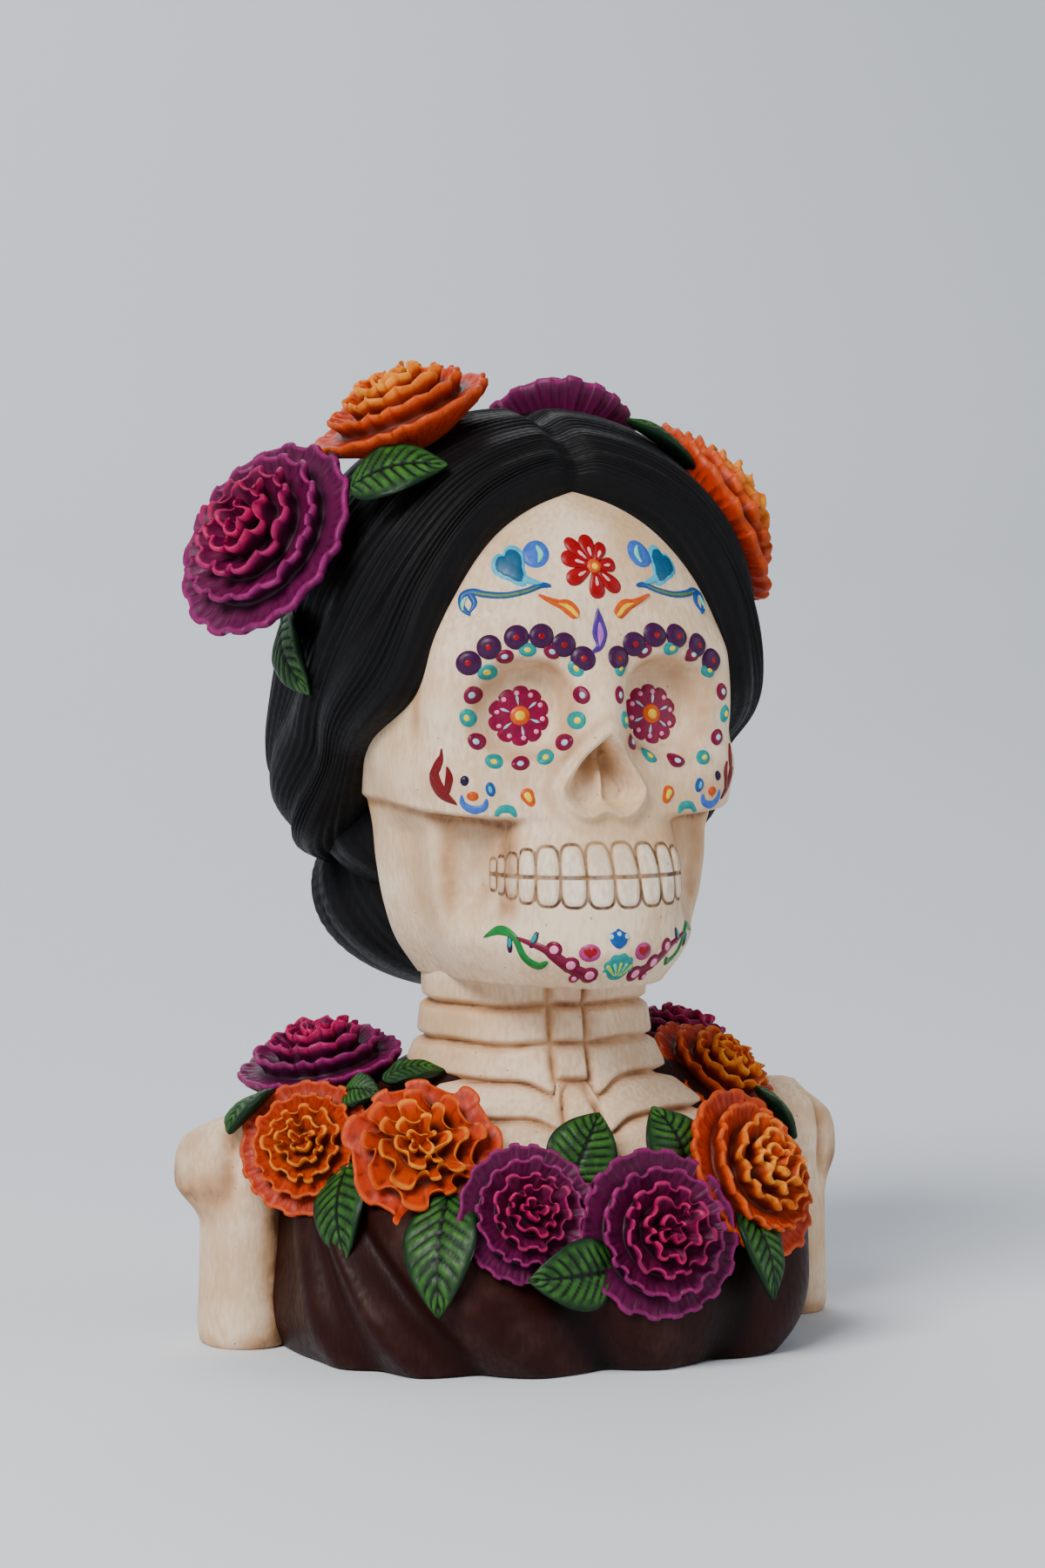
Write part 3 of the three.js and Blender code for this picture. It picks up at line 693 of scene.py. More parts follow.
for side in (-1, 1):
    mirrored = on_side(side, BLUE_STROKE)
    enamel.stroke(mirrored, [1.0, 1.7, 1.9, 1.9, 1.9, 1.8, 1.7, 1.7, 1.2], TONES["navy_blue"], 0.35, 0, 60)
    enamel.stroke(mirrored[3:8], [0.5, 0.9, 0.9, 0.8, 0.4], TONES["olive"], 0.15, 0.3, 40)
    glint = on_side(side, [(41, 177.6), (41.7, 179.2), (40.8, 180.9)])
    enamel.stroke(glint, [0.6, 1.2, 0.5], TONES["mint"], 0.15, 0.3, 20)
    hook = on_side(side, [(40, 181.6), (38, 179.4), (39.2, 177.0)])
    enamel.stroke(hook, [1.8, 1.7, 0.7], TONES["navy_blue"], 0.3, 0.02, 20)
    wave = on_side(side, [(25.4, 185.6), (20.5, 184.4), (16.5, 183.6)])
    enamel.stroke(wave, [2.8, 1.6, 0.6], TONES["sky"], 0.3, 0.02, 26)
    enamel.blot((side * 27.7, 188), TONES["sky"], heart(9.4, 8.6), 0.35, -38, side, 0, 44, 5)
    enamel.blot((side * 27.7, 188.1), TONES["sea"], heart(7.4, 6.6), 0.25, -38, side, 0.3, 40, 4)
    enamel.blot((side * 19.5, 190.8), TONES["blue"], oval(3.4, 3.4), 0.5, 0, side, 0, 36, 5)
    tail = on_side(side, [(21.5, 189.2), (23.5, 189.3)])
    enamel.stroke(tail, [2.2, 0.9], TONES["blue"], 0.3, 0, 12)
    glint = on_side(side, [(18.6, 188.8), (17.9, 190.9), (19.3, 192.9)])
    enamel.stroke(glint, [0.6, 1.5, 0.6], TONES["mint"], 0.18, 0.5, 20)
    flame = on_side(side, [(18.8, 181.4), (15.4, 180.1), (12.6, 179.3), (9.5, 178.5), (6.4, 176.2)])
    enamel.stroke(flame, [0.7, 1.5, 2.2, 3.7, 3.2], TONES["orange"], 0.45, 0, 40)
    enamel.stroke(flame[2:], [0.3, 1.5, 1.2], TONES["sun"], 0.15, 0.4, 20)
violet = [(-3.2, 167.8), (-0.4, 169.2), (0.3, 172), (0.4, 175), (0.3, 178.2)]
enamel.stroke(violet, [0.5, 2.0, 4.3, 3.0, 0.4], TONES["violet"], 0.45, 0, 40)
enamel.stroke(violet[1:4], [0.3, 2.1, 0.6], TONES["mauve"], 0.15, 0.4, 20)

# cheeks: small drops, dots and crescents under each eye
for side in (-1, 1):
    enamel.blot((side * 38.5, 138.1), TONES["navy"], oval(1.15, 1.35), 0.4, 0, side, 0, 18, 3)
    enamel.blot((side * 31.8, 136.1), TONES["navy_blue"], oval(1.2, 1.9), 0.4, -12, side, 0, 20, 4)
    enamel.blot((side * 31.8, 136.1), TONES["sky"], oval(0.55, 1.1), 0.15, -12, side, 0.35, 14, 3)
    enamel.blot((side * 21.9, 134.6), TONES["orange"], drop(6.2, 3.4), 0.4, -118, side, 0, 30, 4)
    enamel.blot((side * 21.9, 134.6), TONES["yellow"], drop(4.0, 1.8), 0.2, -118, side, 0.35, 22, 3)
    crescent = on_side(side, [(39.4, 134.8), (39, 132.6), (36.2, 131.3), (33.4, 132), (32.8, 134)])
    enamel.stroke(crescent, [0.8, 1.8, 2.2, 1.8, 0.8], TONES["blue"], 0.35, 0, 34)
    enamel.blot((side * 36.4, 134.5), TONES["orange"], oval(1.45, 1.15), 0.35, 0, side, 0.1, 18, 3)
    bow = on_side(side, [(30.6, 129.8), (29, 131.4), (26.4, 131.3), (25, 129.6)])
    enamel.stroke(bow, [0.9, 2.1, 2.1, 0.9], TONES["teal"], 0.35, 0, 30)
    plume = [(44.8, 144.4), (46.6, 141.5), (47.2, 138.5), (45.2, 135.2), (40.6, 132.4)]
    plumes = (
        (plume, [0.5, 2.0, 3.6, 3.6, 0.6]),
        ([(43.4, 141.4), (42.8, 138.5), (43.6, 135)], [0.5, 2.4, 1.8]),
        ([(48.6, 139.8), (47.4, 137.4), (45.4, 135)], [0.4, 1.8, 1.2]),
        ([(44.9, 145.6), (45.2, 142.8), (46.4, 140)], [0.3, 1.6, 1.6]),
    )
    for number, (path, widths) in enumerate(plumes):
        enamel.stroke(on_side(side, path), widths, TONES["dark_red"], 0.35, 0.02 * number, 30)

# chin: green vines, crimson vines with pink dots, a tulip, two hearts and a shell
for side in (-1, 1):
    vine = [(35.4, 101.1), (29.8, 103), (25.5, 101.6), (22.7, 96.9), (19, 94.9), (16.5, 96.1)]
    vine = on_side(side, vine)
    enamel.stroke(vine, [0.5, 2.6, 1.9, 2.0, 2.2, 1.2], TONES["green"], 0.4, 0, 60)
    crimson_vine = on_side(side, [(25, 101.6), (17.9, 99.3), (14.7, 97.3), (10.7, 94.6), (4.2, 91.9)])
    enamel.stroke(crimson_vine, [1.0, 2.0, 2.9, 3.1, 3.4], TONES["crimson"], 0.4, 0.02, 60)
    for bearing, height, radius in ((15.2, 99.1, 2.1), (11, 95.4, 2.2), (6.1, 92.9, 2.2), (9.7, 92, 1.2)):
        spot, pink = (side * bearing, height), 0.58 * radius
        enamel.blot(spot, TONES["crimson"], oval(radius, radius), 0.5, 0, side, 0, 22, 4)
        enamel.blot(spot, TONES["pink"], oval(pink, pink), 0.2, 0, side, 0.45, 16, 3)
    for bearing, height, turn in ((26.8, 99.9, 0), (20.1, 101.2, 24)):
        spot, tip = (side * bearing, height), (side * bearing, height + 0.3)
        enamel.blot(spot, TONES["purple"], oval(0.75, 2.5), 0.35, turn, side, 0.1, 18, 3)
        enamel.blot(tip, TONES["teal"], oval(0.62, 1.5), 0.2, turn, side, 0.35, 16, 3)
    enamel.blot((side * 6.8, 98.4), TONES["rose"], oval(2.7, 2.3), 0.4, 0, side, 0, 26, 4)
    enamel.blot((side * 6.8, 98.5), TONES["red"], heart(2.2, 3.6), 0.25, 0, side, 0.35, 26, 3)


def tulip(angle):
    cup = 2.35 - 0.25 * np.abs(np.sin(2 * angle)) - 0.1 * np.sin(angle) ** 2
    return np.where(np.sin(angle) > 0, 2.8 - 0.45 * np.abs(np.cos(3 * angle)), cup)


enamel.blot((0.1, 101.4), TONES["navy_blue"], tulip, 0.5, 0, 1, 0, 48, 5)
for aside, up in ((-1.9, 0.3), (0, 0.9), (1.9, 0.3)):
    enamel.blot((aside + 0.1, 101.9 + up), TONES["pale_blue"], oval(0.6, 0.6), 0.15, 0, 1, 0.45, 12, 3)


def shell(angle):
    ribbed = 1 + 0.16 * np.abs(np.cos(4.5 * angle)) * (np.sin(angle) > -0.3)
    return 3.6 * ribbed * np.where(np.sin(angle) < -0.3, 0.85, 1)


enamel.blot((0.8, 94.4), TONES["teal"], shell, 0.5, 0, 1, 0, 60, 5)
for ray in range(5):
    lean = 0.55 * (ray - 2)
    rib = [(0.8 + 0.6 * lean, 92.6), (0.8 + 3.0 * lean, 94.8 + 1.3 * math.cos(lean))]
    enamel.stroke(rib, [0.4, 1.2], TONES["mint"] if ray % 2 else TONES["lime"], 0.2, 0.45, 12)


def enamel_color(tree):
    tone = add_node(tree, "Attribute", {}, attribute_name="tone").outputs["Color"]
    worn = stretch(tree, spots(tree, 700.0), 0.35, 0.7, 0.08, 0.32)
    return blend(tree, worn, tone, paint(26, 12, 10))


enamel_paint = new_material("enamel", 0.22, enamel_color, paint(60, 40, 34), 0.12, 0.0, 0.36, 0.25)
add_piece("painted_ornament", enamel.mesh("painted_ornament"), enamel_paint)

# Neck and ribs
# Rounded rings as wide as the neck above and spreading over the chest as ribs below, with a strip of plates
# down the front that ends in the round head of the breastbone. Cream ceramic, with ochre in the grooves.
THROAT_FOOT, THROAT_TOP = 34, 118
THROAT_LEVELS = np.array(
    [
        # height, half width, front, back
        [THROAT_FOOT, 52, 53, 34],
        [41, 53, 48, 32],
        [48, 50.5, 41.5, 30],
        [57, 42, 32.5, 26],
        [65, 31.5, 26.3, 23.5],
        [73.5, 27, 23.2, 22.5],
        [82.5, 25.6, 21.6, 21.6],
        [96, 25.2, 21.4, 21.6],
        [THROAT_TOP, 25, 12, 30],
    ]
)
RING_EDGES = np.array([30, 36, 42, 48, 56.5, 65, 73.5, 82.5, 97, 122])
STRIP_HALF_WIDTH = 4.4
HEAD_HALF_WIDTH, HEAD_MIDDLE, HEAD_TOP = 4.6, 52, 64.5


def nearer(first, second):
    """The smaller of two distances, rounded where they are alike."""
    first, second = np.maximum(first, 0.01), np.maximum(second, 0.01)
    return (first**-3.0 + second**-3.0) ** (-1 / 3)


def place_throat(u, v):
    """The neck's skin: rings that sag beside the strip of plates, with the breastbone's head in front."""
    turn = 2 * u - 1
    angle = np.pi * (0.6 * turn + 0.4 * turn**3)
    height = mix(THROAT_FOOT, THROAT_TOP, np.clip((v - 0.01) / 0.98, 0, 1))
    width, front, back = (level(THROAT_LEVELS, height, k) for k in range(1, 4))
    plain = reach(angle, width, front, back, 2.1)
    side = np.abs(plain * np.sin(angle))
    ahead = np.cos(angle) > 0
    sag = np.where(ahead, 1, 0) * bell((side - STRIP_HALF_WIDTH) / 5) * smooth(height, 73, 63) * 3.6
    sag = sag * smooth(side, STRIP_HALF_WIDTH - 0.6, STRIP_HALF_WIDTH + 1.2)
    sag = sag + 0.3 * np.sin(3 * angle + 0.13 * height) + 0.25 * np.sin(7 * angle)
    lifted = height + sag
    ring = np.clip(np.searchsorted(RING_EDGES, lifted) - 1, 0, len(RING_EDGES) - 2)
    low, high = RING_EDGES[ring], RING_EDGES[ring + 1]
    gap = np.minimum(lifted - low, high - lifted)
    pillow = np.sqrt(np.clip(1 - np.abs(2 * (lifted - low) / (high - low) - 1) ** 2.6, 0, 1))
    up = np.maximum(height - HEAD_MIDDLE, 0) / (HEAD_TOP - HEAD_MIDDLE)
    far = ((side / HEAD_HALF_WIDTH) ** 2.4 + up**2.4) ** (1 / 2.4)
    in_head = ahead & (far < 1)
    beside = np.where(height > HEAD_TOP, np.abs(side - STRIP_HALF_WIDTH), np.abs(1 - far) * HEAD_HALF_WIDTH)
    line = np.where(in_head, beside, np.where(ahead, nearer(gap, beside), gap))
    rise = 2.0 * smooth(line, 0.1, 1.6) + 1.1 * np.where(in_head, np.sqrt(np.clip(1 - far**2, 0, 1)), pillow)
    out = plain + rise - 0.6
    share_in = np.where((v < 1e-6) | (v > 1 - 1e-6), 0, 1)
    points = np.stack([out * np.sin(angle) * share_in, -out * np.cos(angle) * share_in, height], axis=-1)
    wash_and_shade = 0.95 * bell(line / 0.6) + 0.18 * smooth(line, 3, 1)
    return points, {"wash_and_shade": wash_and_shade, "tooth": np.zeros_like(u), "line": np.full_like(u, 3.0)}


add_piece("neck_and_ribs", wrapped("neck_and_ribs", 230, 160, place_throat), bone)

# Hair
# Black hair parted in the middle, swept down over the temples and back to a low bun, carved as locks with
# fine grooves along them. Each side is drawn along four locks, from the nape up to the parting.
HAIR_Y, HAIR_Z, HAIR_HALF_WIDTH, HAIR_DEPTH, HAIR_RISE, HAIR_SQUARENESS = 13, 160, 56.5, 64, 66, 2.3
HAIR_LOCKS = np.array(
    [
        # each lock as [side, front, height] from the nape to the parting, the lock along the hairline first
        [
            [0, -50, 120], [30, -38, 119], [42, -12, 128], [43.5, 2, 143],
            [39.3, 27.5, 157], [32.5, 32, 178], [20.5, 30.8, 196.5], [0, 27, 205],
        ],
        [
            [0, -58, 123], [34, -50, 123], [51, -24, 131], [57, -4, 149],
            [54, 14, 172], [45, 24, 194], [24, 24, 212], [0, 18, 216],
        ],
        [
            [0, -64, 127], [26, -68, 130], [45, -56, 141], [52, -44, 160],
            [50, -30, 182], [40, -20, 203], [22, -12, 219], [0, -8, 225],
        ],
        [
            [0, -68, 128], [0, -74, 140], [0, -78, 152], [0, -77, 168],
            [0, -72, 184], [0, -64, 198], [0, -54, 209], [0, -42, 217],
        ],
    ],
    dtype=float,
)
FINE_LOCKS = 46


def hair_surface(lock, along):
    """Points of one side of the hair, and how deep they lie in a groove."""
    spot = []
    for axis in range(3):
        rows = np.stack([between(points[:, axis], along) for points in HAIR_LOCKS])
        spot.append(between(rows, lock))
    x, y, z = spot[0], spot[1] + HAIR_Y, spot[2] - HAIR_Z
    hairline = np.sqrt(x * x + y * y + z * z)
    x, y, z = x / hairline, y / hairline, z / hairline
    p = HAIR_SQUARENESS
    outer = (np.abs(x) / HAIR_HALF_WIDTH) ** p + (np.abs(y) / HAIR_DEPTH) ** p + (np.abs(z) / HAIR_RISE) ** p
    outer = outer ** (-1 / p)
    roll = np.sqrt(smooth(lock, 0, 0.12))
    wander = 0.35 * np.sin(5 * along + 9 * lock) + 0.2 * np.sin(11 * along - 23 * lock)
    wave = np.cos(2 * np.pi * (5 * lock + 0.5 * wander))
    fine = np.cos(2 * np.pi * (FINE_LOCKS * lock + wander))
    depth = 0.55 + 0.45 * np.sin(37 * lock + 3 * along)
    ends = smooth(along, 0.02, 0.12)
    combed = 1.3 * wave * np.sin(np.pi * np.clip(along, 0, 1)) * roll + 0.4 * depth * fine
    combed = combed * ends * smooth(lock, 0.004, 0.04)
    parting = -3.2 * bell(x / 0.05) * smooth(along, 0.7, 0.95)
    full = 4.5 * bell((spot[2] - 133) / 18) * smooth(spot[1], 5, -20)
    full = full - 5 * bell((spot[2] - 139) / 10) * smooth(spot[1], -28, -8)
    size = mix(hairline - 1.5, outer + full + parting, roll) + combed
    points = np.stack([x * size, HAIR_Y - y * size, z * size + HAIR_Z], axis=-1)
    return points, 0.5 - 0.5 * fine * depth


def place_hair(u, v):
    """Both sides of the hair as one skin that meets at the parting and is closed inside the skull."""
    turn = 2 * u - 1
    side = np.abs(turn)
    middle = 0.012
    points, groove = hair_surface(np.clip((side - middle) / (1 - middle), 0, 1), v)
    on_middle = (v < 1e-6) | (v > 1 - 1e-6) | (side > 1 - 1e-6)
    points[:, 0] = np.where(on_middle, 0, points[:, 0] * np.sign(turn))
    inner = side < middle * 0.5
    first, _ = hair_surface(np.zeros_like(v), np.zeros_like(v))
    last, _ = hair_surface(np.zeros_like(v), np.ones_like(v))
    points = np.where(inner[:, None], mix(first, last, v[:, None]) * [0, 1, 1], points)
    return points, {"groove": groove, "strand": u * FINE_LOCKS * 2}


def hair_color(tree):
    strand = times(tree, carved(tree, "strand"), 25.0)
    strand = add_node(tree, "Math", {0: strand}, operation="SINE").outputs[0]
    lit = stretch(tree, carved(tree, "groove"), 0.6, 0.1)
    lit = times(tree, lit, stretch(tree, strand, -0.6, 0.9, 0.25, 0.8))
    return blend(tree, lit, paint(10, 10, 12), paint(28, 27, 29))


hair_paint = new_material("hair_black", 0.12, hair_color, paint(12, 12, 13), 0.4, 0.0, 0.56, 0.35)
add_piece("hair", wrapped("hair", 560, 110, place_hair), hair_paint)

# Bun
# A low bun at the nape, wound from the same grooved black hair, and the gathered hair that joins it to the
# head. Both are carved lumps, and their grooves follow the turns of the hair.
BUN = {"y": 48, "z": 107, "half_width": 40, "depth": 31, "half_height": 27}
GATHER = {"y": 31, "z": 125, "half_width": 44, "depth": 27, "half_height": 23}


def place_lump(lump, coarse, fine_depth):
    """A rounded lump of hair, with locks and fine grooves wound round it."""

    def place(u, v):
        angle = 2 * np.pi * u
        tilt = np.pi * (v - 0.5)
        swept = 0.5 - 0.5 * np.cos(angle)
        wound = 2 * np.pi * (1.6 * v - 1.9 * swept) + 0.5 * np.sin(5 * v + 2 * swept)
        fine = np.cos(9 * wound) * (0.6 + 0.4 * np.sin(4 * wound + 9 * v))
        swell = 1 + (coarse * np.cos(2 * wound) + fine_depth * fine) / lump["half_width"] * np.cos(tilt)
        points = np.stack(
            [
                lump["half_width"] * swell * np.cos(tilt) * np.sin(angle),
                lump["y"] - lump["depth"] * swell * np.cos(tilt) * np.cos(angle),
                lump["z"] + lump["half_height"] * np.sin(tilt),
            ],
            axis=-1,
        )
        return points, {"groove": 0.5 - 0.5 * fine, "strand": v * 60}

    return place


bun = wrapped("bun", 150, 120, place_lump(BUN, 0.8, 0.4))
add_piece("bun", bun, hair_paint)
gathered_hair = wrapped("gathered_hair", 130, 80, place_lump(GATHER, 0.7, 0.4))
add_piece("gathered_hair", gathered_hair, hair_paint)

# Dress
# Dark brown cloth drawn round the chest and shoulders, its folds falling slantwise from the flowers to the
# hem, carved in the ceramic and painted with a satin glaze. Painted shade darkens the fold valleys, and the
# raised folds are paler in patches, partly wear and partly painted highlight.
DRESS_TOP = 70
DRESS_LEVELS = np.array(
    [
        # height, half width, front, back
        [0, 63.5, 56, 46],
        [4, 65.5, 58.5, 48],
        [24, 65.5, 60, 47.5],
        [38, 63.5, 53, 46],
        [46, 60.5, 40, 42.5],
        [54, 55.5, 27, 36],
        [62, 44, 21, 29],
        [DRESS_TOP, 28, 18, 20],
    ]
)
FOLDS = [
    # bearing at the hem in degrees from the front, half width, height of the fold
    [-28, 30, 2.0],
    [-62, 6, 2.2],
    [-54, 4, -1.6],
    [-43, 5, 3.0],
    [-32, 4.5, -3.2],
    [-18, 6, 2.6],
    [-2, 5, -3.2],
    [11, 6, 2.4],
    [27, 5, -2.6],
    [41, 7, 1.6],
    [66, 17, -5.0],
]
SLANTS = np.array(
    [
        # bearing at the hem, degrees that the cloth turns by for each millimetre of height
        [-180, 0],
        [-130, 0],
        [-60, -0.45],
        [-15, -0.8],
        [10, -0.5],
        [40, 0.5],
        [90, 0.1],
        [180, 0],
    ]
)


def place_dress(u, v):
    """The dress's skin, whose folds turn with the height, closed underneath and at the top."""
    turn = 2 * u - 1
    hem = 180 * (0.6 * turn + 0.4 * turn**3)
    height = np.interp(v, [0, 0.02, 0.98, 1], [0, 0, DRESS_TOP, DRESS_TOP])
    angle = np.radians(hem + level(SLANTS, hem, 1) * np.minimum(height, 50))
    width, front, back = (level(DRESS_LEVELS, height, k) for k in range(1, 4))
    folds = sum(depth * bell((hem - at) / wide) for at, wide, depth in FOLDS)
    out = reach(angle, width, front, back, 2.5) + folds * smooth(height, 52, 24)
    out = out - 4 * bell((hem - 92) / 26) * bell((height - 30) / 17)
    out = out * np.where(v > 0.999, 0, np.clip(v / 0.02, 0, 1))
    return np.stack([out * np.sin(angle), -out * np.cos(angle), height], axis=-1), {"fold": folds / 3}


def cloth_color(tree):
    # paler patches on the raised folds are partly wear and partly painted highlight; darker fold valleys are
    # painted shade
    raised = stretch(tree, carved(tree, "fold"), 0.1, 0.9)
    worn = times(tree, raised, stretch(tree, spots(tree, 90.0), 0.4, 0.7))
    color = blend(tree, stretch(tree, carved(tree, "fold"), 0.0, -0.8), paint(42, 16, 13), paint(18, 6, 5))
    return blend(tree, times(tree, worn, 0.5), color, paint(70, 44, 38))


cloth = new_material("dress_brown", 0.1, cloth_color, paint(30, 11, 9), 0.5, 0.15, 0.48, 0.4)
add_piece("dress", wrapped("dress", 300, 80, place_dress), cloth)

# Upper arm bones
# One at each side of the dress: a straight shaft that spreads upwards into two knobs. Cast in one with the
# dress, in the cream ceramic of the skull, with brown wash and painted shade under the knobs, along the
# dress and at the foot.
ARM_X, ARM_Y, ARM_HALF_WIDTH, ARM_HALF_DEPTH, ARM_TOP = 71, 11, 10.5, 12.5, 59
KNOB_BEARING = 125
ARM_PROFILE = np.array(
    [
        # height, share of the shaft's width
        [-1, 0.96],
        [0, 0.96],
        [2.5, 1],
        [14, 0.98],
        [26, 0.96],
        [34, 0.97],
        [40, 1],
        [46, 1.02],
        [51, 0.97],
        [56, 0.76],
        [ARM_TOP, 0.4],
    ]
)


def place_arm(side):
    """One arm bone, with a knob that stands out behind and a dip beside it."""

    def place(u, v):
        angle = 2 * np.pi * u
        height = np.interp(v, [0, 0.04, 0.94, 1], [0, 0, ARM_TOP, ARM_TOP])
        share = level(ARM_PROFILE, height, 1)
        outward = np.cos(angle - side * math.radians(KNOB_BEARING))
        knob = (4.5 - side) * smooth(height, 29, 42) * smooth(outward, 0, 1) * np.minimum(1, share / 0.9)
        dip = -2.0 * bell((outward + 0.05) / 0.17) * smooth(height, 31, 41) * (np.sin(angle) * side > -0.5)
        plain = reach(angle, ARM_HALF_WIDTH, ARM_HALF_DEPTH, ARM_HALF_DEPTH, 2.2)
        out = (plain * share + knob + dip) * np.where(v > 0.999, 0, np.clip(v / 0.04, 0, 1))
        height = height - 5 * smooth(height, 26, 56) * smooth(outward, -0.6, 1)
        points = np.stack([side * ARM_X + out * np.sin(angle), ARM_Y - out * np.cos(angle), height], axis=-1)
        inward = -side * np.sin(angle)
        beside_dress = smooth(inward, -0.2, 0.45) + 0.7 * bell((inward - 0.48) / 0.1)
        beside_dress = beside_dress * smooth(height, 46, 34) * smooth(inward, 1, 0.8)
        # brown wash with painted shade under the knobs, in the dip beside them, along the dress and at the
        # foot, and a faint band near the top
        wash_and_shade = 1.2 * bell((height - 37) / 7) * smooth(outward, -0.3, 0.7) + 0.6 * bell((height - 1) / 2.5)
        wash_and_shade = wash_and_shade + 0.9 * beside_dress + 0.35 * bell((height - 50) / 4) - 0.3 * dip
        return points, {"wash_and_shade": wash_and_shade, "tooth": np.zeros_like(u), "line": np.full_like(u, 3.0)}

    return place


for side, name in ((-1, "arm_bone_left"), (1, "arm_bone_right")):
    add_piece(name, wrapped(name, 72, 80, place_arm(side)), bone)

# Flowers
# Carnations with pleated petals, purple and orange, and an orange marigold with deep lobes. Each is carved
# as rings of ruffled petals, one standing inside the other, its back against the hair or the dress, and
# painted pale along the rims, with painted shade darkening the hollows between the rings and the pleats.
CARNATION = [
    # each ring of petals: rim distance and height, hollow distance and height, ruffles, size of a ruffle
    [1.0, 0.0, 0.7, 0.0, 18, 0.022],
    [0.765, 0.19, 0.49, 0.1, 16, 0.03],
    [0.54, 0.32, 0.32, 0.19, 11, 0.045],
    [0.34, 0.42, 0.17, 0.26, 8, 0.055],
    [0.15, 0.43, 0.0, 0.28, 4, 0.05],
]
MARIGOLD = [
    [1.0, 0.0, 0.66, 0.0, 9, 0.06],
    [0.76, 0.21, 0.47, 0.1, 9, 0.1],
    [0.54, 0.34, 0.29, 0.18, 8, 0.105],
    [0.33, 0.42, 0.14, 0.24, 6, 0.09],
    [0.15, 0.42, 0.0, 0.26, 4, 0.06],
]
FLOWERS = [
    # name, colour, [side, front, height], the way it faces as [side, front, height], radius, kind
    ["hair_purple", "purple", [-67, -4, 194.5], [-0.78, 0.4, 0.46], 25.5, CARNATION],
    ["hair_orange_top", "orange", [-33, -2, 224.5], [-0.42, 0.06, 0.9], 22, CARNATION],
    ["hair_purple_back", "purple", [16, -27, 220], [0.2, -0.66, 0.72], 19.5, CARNATION],
    ["hair_orange_side", "orange", [50, -9.5, 201], [0.85, 0.07, 0.51], 25, CARNATION],
    ["shoulder_purple_left", "purple", [-50.5, -13, 67.5], [-0.22, 0.1, 0.97], 20, CARNATION],
    ["shoulder_orange_left", "orange", [-62, 13, 50], [-0.5, 0.78, 0.36], 16.5, CARNATION],
    ["marigold", "orange", [-41.5, 38, 51.3], [-0.34, 0.82, 0.46], 17.6, MARIGOLD],
    ["chest_purple_small", "purple", [-22, 56, 38], [-0.12, 0.93, 0.32], 16.5, CARNATION],
    ["chest_purple_large", "purple", [9, 60, 32.5], [0.06, 0.96, 0.26], 20, CARNATION],
    ["chest_orange", "orange", [38.5, 46, 43.5], [0.5, 0.76, 0.42], 21, CARNATION],
    ["shoulder_orange_right", "orange", [47, 4, 61.5], [0.42, 0.5, 0.76], 18.5, CARNATION],
    ["shoulder_purple_right", "purple", [48, -24, 67], [0.3, 0.0, 0.95], 18, CARNATION],
]


def to_point(spot):
    return Vector((spot[0], -spot[1], spot[2]))


def petal_outline(rings):
    """A flower cut through its middle, from the back over every rim to the heart."""
    # each step: distance, height, share of the ruffle, closeness to a rim and to a hollow, ring of petals
    steps = [[0, -0.7, 0, 0, 0, 0], [0.45, -0.35, 0, 0, 0, 0], [0.9, -0.12, 0.6, 0, 0, 0]]
    for number, (rim, top, hollow, bottom, _, _) in enumerate(rings):
        steps.append([rim, top, 1, 1, 0, number])
        steps.append([rim - 0.03, top + 0.035, 0.95, 0.9, 0, number])
        steps.append([mix(rim, hollow, 0.35), mix(top, bottom, 0.3) + 0.01, 0.5, 0, 0.1, number])
        steps.append([mix(rim, hollow, 0.78), mix(top, bottom, 0.85), 0.14, 0, 0.5, number])
        steps.append([hollow, bottom, 0, 0, 1, number])
        if hollow > 0:
            ahead = rings[number + 1]
            steps.append([mix(hollow, ahead[0], 0.2), mix(bottom, ahead[1], 0.45), 0.5, 0, 0.8, number + 1])
    return np.array(steps, dtype=float)


def place_flower(spot, facing, radius, rings, seed):
    """A flower turned from its outline, ruffled ring by ring and then leaned the way it faces."""
    steps = petal_outline(rings)
    shift = np.random.default_rng(seed).uniform(0, 2 * np.pi, len(rings))
    lean = np.array(Vector((0, 0, 1)).rotation_difference(to_point(facing).normalized()).to_matrix())

    def place(u, v):
        turn = 2 * np.pi * u
        ring = steps[np.ceil(v * (len(steps) - 1) - 1e-6).astype(int), 5].astype(int)
        out, rise, ruffle, rim, hollow = (between(steps[:, k], v) for k in range(5))
        count, size, start = np.array(rings)[ring, 4], np.array(rings)[ring, 5], shift[ring]
        drift = 0.9 * np.sin(2 * turn + start) + 0.5 * np.sin(3 * turn + 2 * start)
        drift = drift + 0.3 * np.sin(5 * turn + 3 * start)
        phase = count * turn + start + drift
        size = size * (1 + 0.3 * np.sin(4 * turn + 5 * start) + 0.2 * np.sin(7 * turn + start))
        wave = np.sin(phase) + 0.12 * np.sin(2 * phase + start) + 0.5 * np.sin(3 * turn + 4 * start)
        pleat = np.cos(3 * phase + start)
        angle = turn - ruffle * 0.46 / count * np.sin(2 * phase)
        band = (1 - rim) * (1 - hollow) * np.clip(ruffle * 2, 0, 1)
        far = radius * (out + ruffle * size * wave)
        up = radius * (rise + ruffle * size * 0.7 * np.cos(phase) + 0.012 * pleat * band)
        local = np.stack([far * np.cos(angle), far * np.sin(angle), up], axis=-1)
        values = {"rim": rim, "hollow": hollow, "pleat": 0.5 - 0.5 * pleat * band, "inner": 1 - out}
        return local @ lean.T + np.array(to_point(spot)), values

    return place


PETAL_PAINTS = {
    # petals outside, petals inside, painted shade in the hollows, rims outside, rims inside
    "orange": [(186, 46, 0), (206, 70, 0), (46, 8, 0), (200, 72, 4), (240, 148, 26)],
    "purple": [(90, 6, 62), (104, 4, 60), (22, 0, 16), (134, 22, 96), (186, 8, 84)],
}


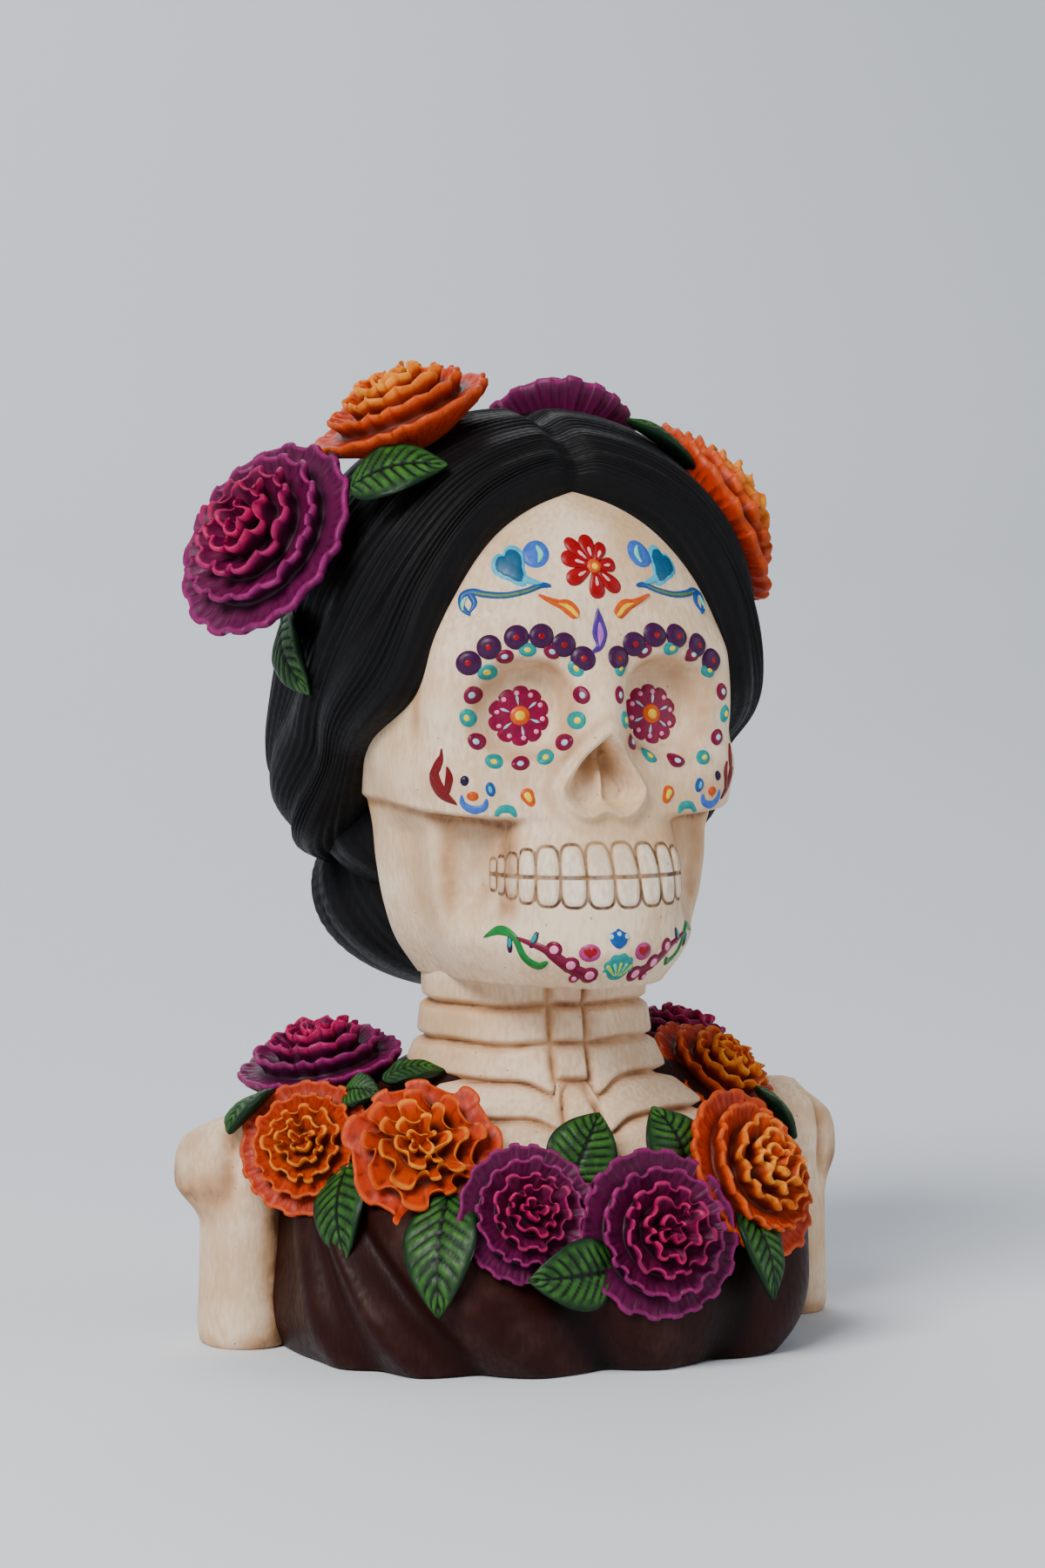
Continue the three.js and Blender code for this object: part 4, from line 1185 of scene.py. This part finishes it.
def petal_color(tone):
    outside, inside, hollow, rim_outside, rim_inside = (paint(*part) for part in PETAL_PAINTS[tone])

    def color(tree):
        inner = stretch(tree, carved(tree, "inner"), 0.15, 0.75)
        petal = blend(tree, inner, outside, inside)
        rim = blend(tree, inner, rim_outside, rim_inside)
        # painted shade: darker in the furrows of the pleats and in the hollows between the rings of petals
        petal = blend(tree, stretch(tree, carved(tree, "pleat"), 0.55, 1.0, 0.0, 0.55), petal, hollow)
        petal = blend(tree, stretch(tree, carved(tree, "hollow"), 0.1, 1.0, 0.0, 0.85), petal, hollow)
        brushed = stretch(tree, spots(tree, 500.0), 0.3, 0.6, 0.5, 1.0)
        return blend(tree, times(tree, stretch(tree, carved(tree, "rim"), 0.35, 0.9), brushed), petal, rim)

    return color


flower_paint = {}
for tone, parts in PETAL_PAINTS.items():
    under = paint(*parts[2])
    flower_paint[tone] = new_material(tone + "_petals", 0.25, petal_color(tone), under, 0.3, 0.1, 0.5, 0.5)
for number, (name, tone, spot, facing, radius, kind) in enumerate(FLOWERS):
    rows = 2 * (len(petal_outline(kind)) - 1)
    mesh = wrapped(name, 210, rows, place_flower(spot, facing, radius, kind, number))
    add_piece(name, mesh, flower_paint[tone])

# Leaves
# Broad pointed leaves that come out from under the flowers and lie against the hair, the ribs or the dress,
# with a carved midrib and side veins and paler green between them, partly brushed paint and partly painted
# highlight.
LEAVES = [
    # foot and tip as [side, front, height], half width
    [[-51, 13, 206.5], [-30.5, 25, 211.5], 9],
    [[-57.5, -18, 176], [-57, 1, 157], 7.5],
    [[41, 2, 210], [20, 10, 223], 5.5],
    [[-67, -1, 62], [-79, 4, 53], 8],
    [[-55, 23, 47], [-60, 37, 26], 8.3],
    [[-43, 12, 65], [-28, 15, 67], 4.5],
    [[-52, 10, 62], [-46, 20, 63], 5],
    [[-38, 46, 42], [-45, 59.5, 15.5], 9],
    [[-2, 61, 25], [-25, 64, 24], 8.5],
    [[-10, 50, 43], [1, 42, 59], 8.5],
    [[20, 51, 44], [14, 43, 60], 10],
    [[33, 53, 37], [38, 60, 15], 7],
    [[52, 16, 60], [62, 18, 47], 6],
    [[-47, -22, 61], [-39, -35, 49], 7],
    [[46, -25, 61], [38, -37, 48], 7],
]
LEAF_VEINS = 9


def place_leaf(foot, tip, half_width, middle):
    """A leaf bowed from foot to tip over the middle of what it lies on, with veins in its upper face."""
    start, end = to_point(foot), to_point(tip)
    along = end - start
    outward = (start + end) / 2 - Vector(middle)
    across = outward.cross(along).normalized()
    outward = along.cross(across).normalized()

    def place(u, v):
        angle = 2 * np.pi * u
        width = half_width * np.sin(np.pi * np.clip(v, 0, 1) ** 0.75) ** np.where(v > 0.397, 0.82, 0.6)
        aside = np.cos(angle)
        upper = smooth(np.sin(angle), 0, 0.1)
        flank = np.abs(aside)
        thick = np.where(np.sin(angle) > 0, 1.5, 2.5) * np.sin(np.pi * v) ** 0.5
        place_in_row = (v * LEAF_VEINS - 1.9 * flank) % 1
        vein = bell((np.abs(place_in_row - 0.5) - 0.5) / 0.16)
        vein = vein * smooth(flank, 0.04, 0.12) * smooth(flank, 0.95, 0.6)
        between_veins = 0.5 + 0.5 * bell((place_in_row - 0.5) / 0.24)
        midrib = bell(aside / 0.06)
        wave = 0.25 * np.sin(2 * np.pi * (v * 2.5 - 0.6 * flank)) * flank**3
        out = thick * np.sin(angle) + 0.5 * flank + upper * (wave - 0.5 * vein - 0.6 * midrib)
        bow = 0.1 * np.linalg.norm(along) * np.sin(np.pi * v)
        points = (
            np.array(start)
            + v[:, None] * np.array(along)
            + (aside * width)[:, None] * np.array(across)
            + (out + bow)[:, None] * np.array(outward)
        )
        values = {"vein": np.maximum(vein, midrib) * upper, "rim": flank**4, "blade": upper * between_veins}
        return points, values

    return place


def leaf_color(tree):
    # paler green on the upper face between the veins, away from the edge: partly brushed paint, partly
    # painted highlight
    lit = times(tree, carved(tree, "blade"), stretch(tree, carved(tree, "rim"), 0.9, 0.1))
    lit = times(tree, lit, stretch(tree, spots(tree, 320.0), 0.35, 0.62, 0.35, 1.0))
    green = blend(tree, lit, paint(5, 36, 14), paint(56, 108, 34))
    return blend(tree, stretch(tree, carved(tree, "vein"), 0.15, 0.8), green, paint(3, 17, 6))


leaf_paint = new_material("leaf_green", 0.24, leaf_color, paint(5, 28, 10), 0.3, 0.1, 0.48, 0.4)
for number, (foot, tip, half_width) in enumerate(LEAVES):
    middle = (0, HAIR_Y, HAIR_Z) if foot[2] > 100 else (0, 0, 20)
    name = "leaf_" + str(number + 1)
    add_piece(name, wrapped(name, 56, 60, place_leaf(foot, tip, half_width, middle)), leaf_paint)
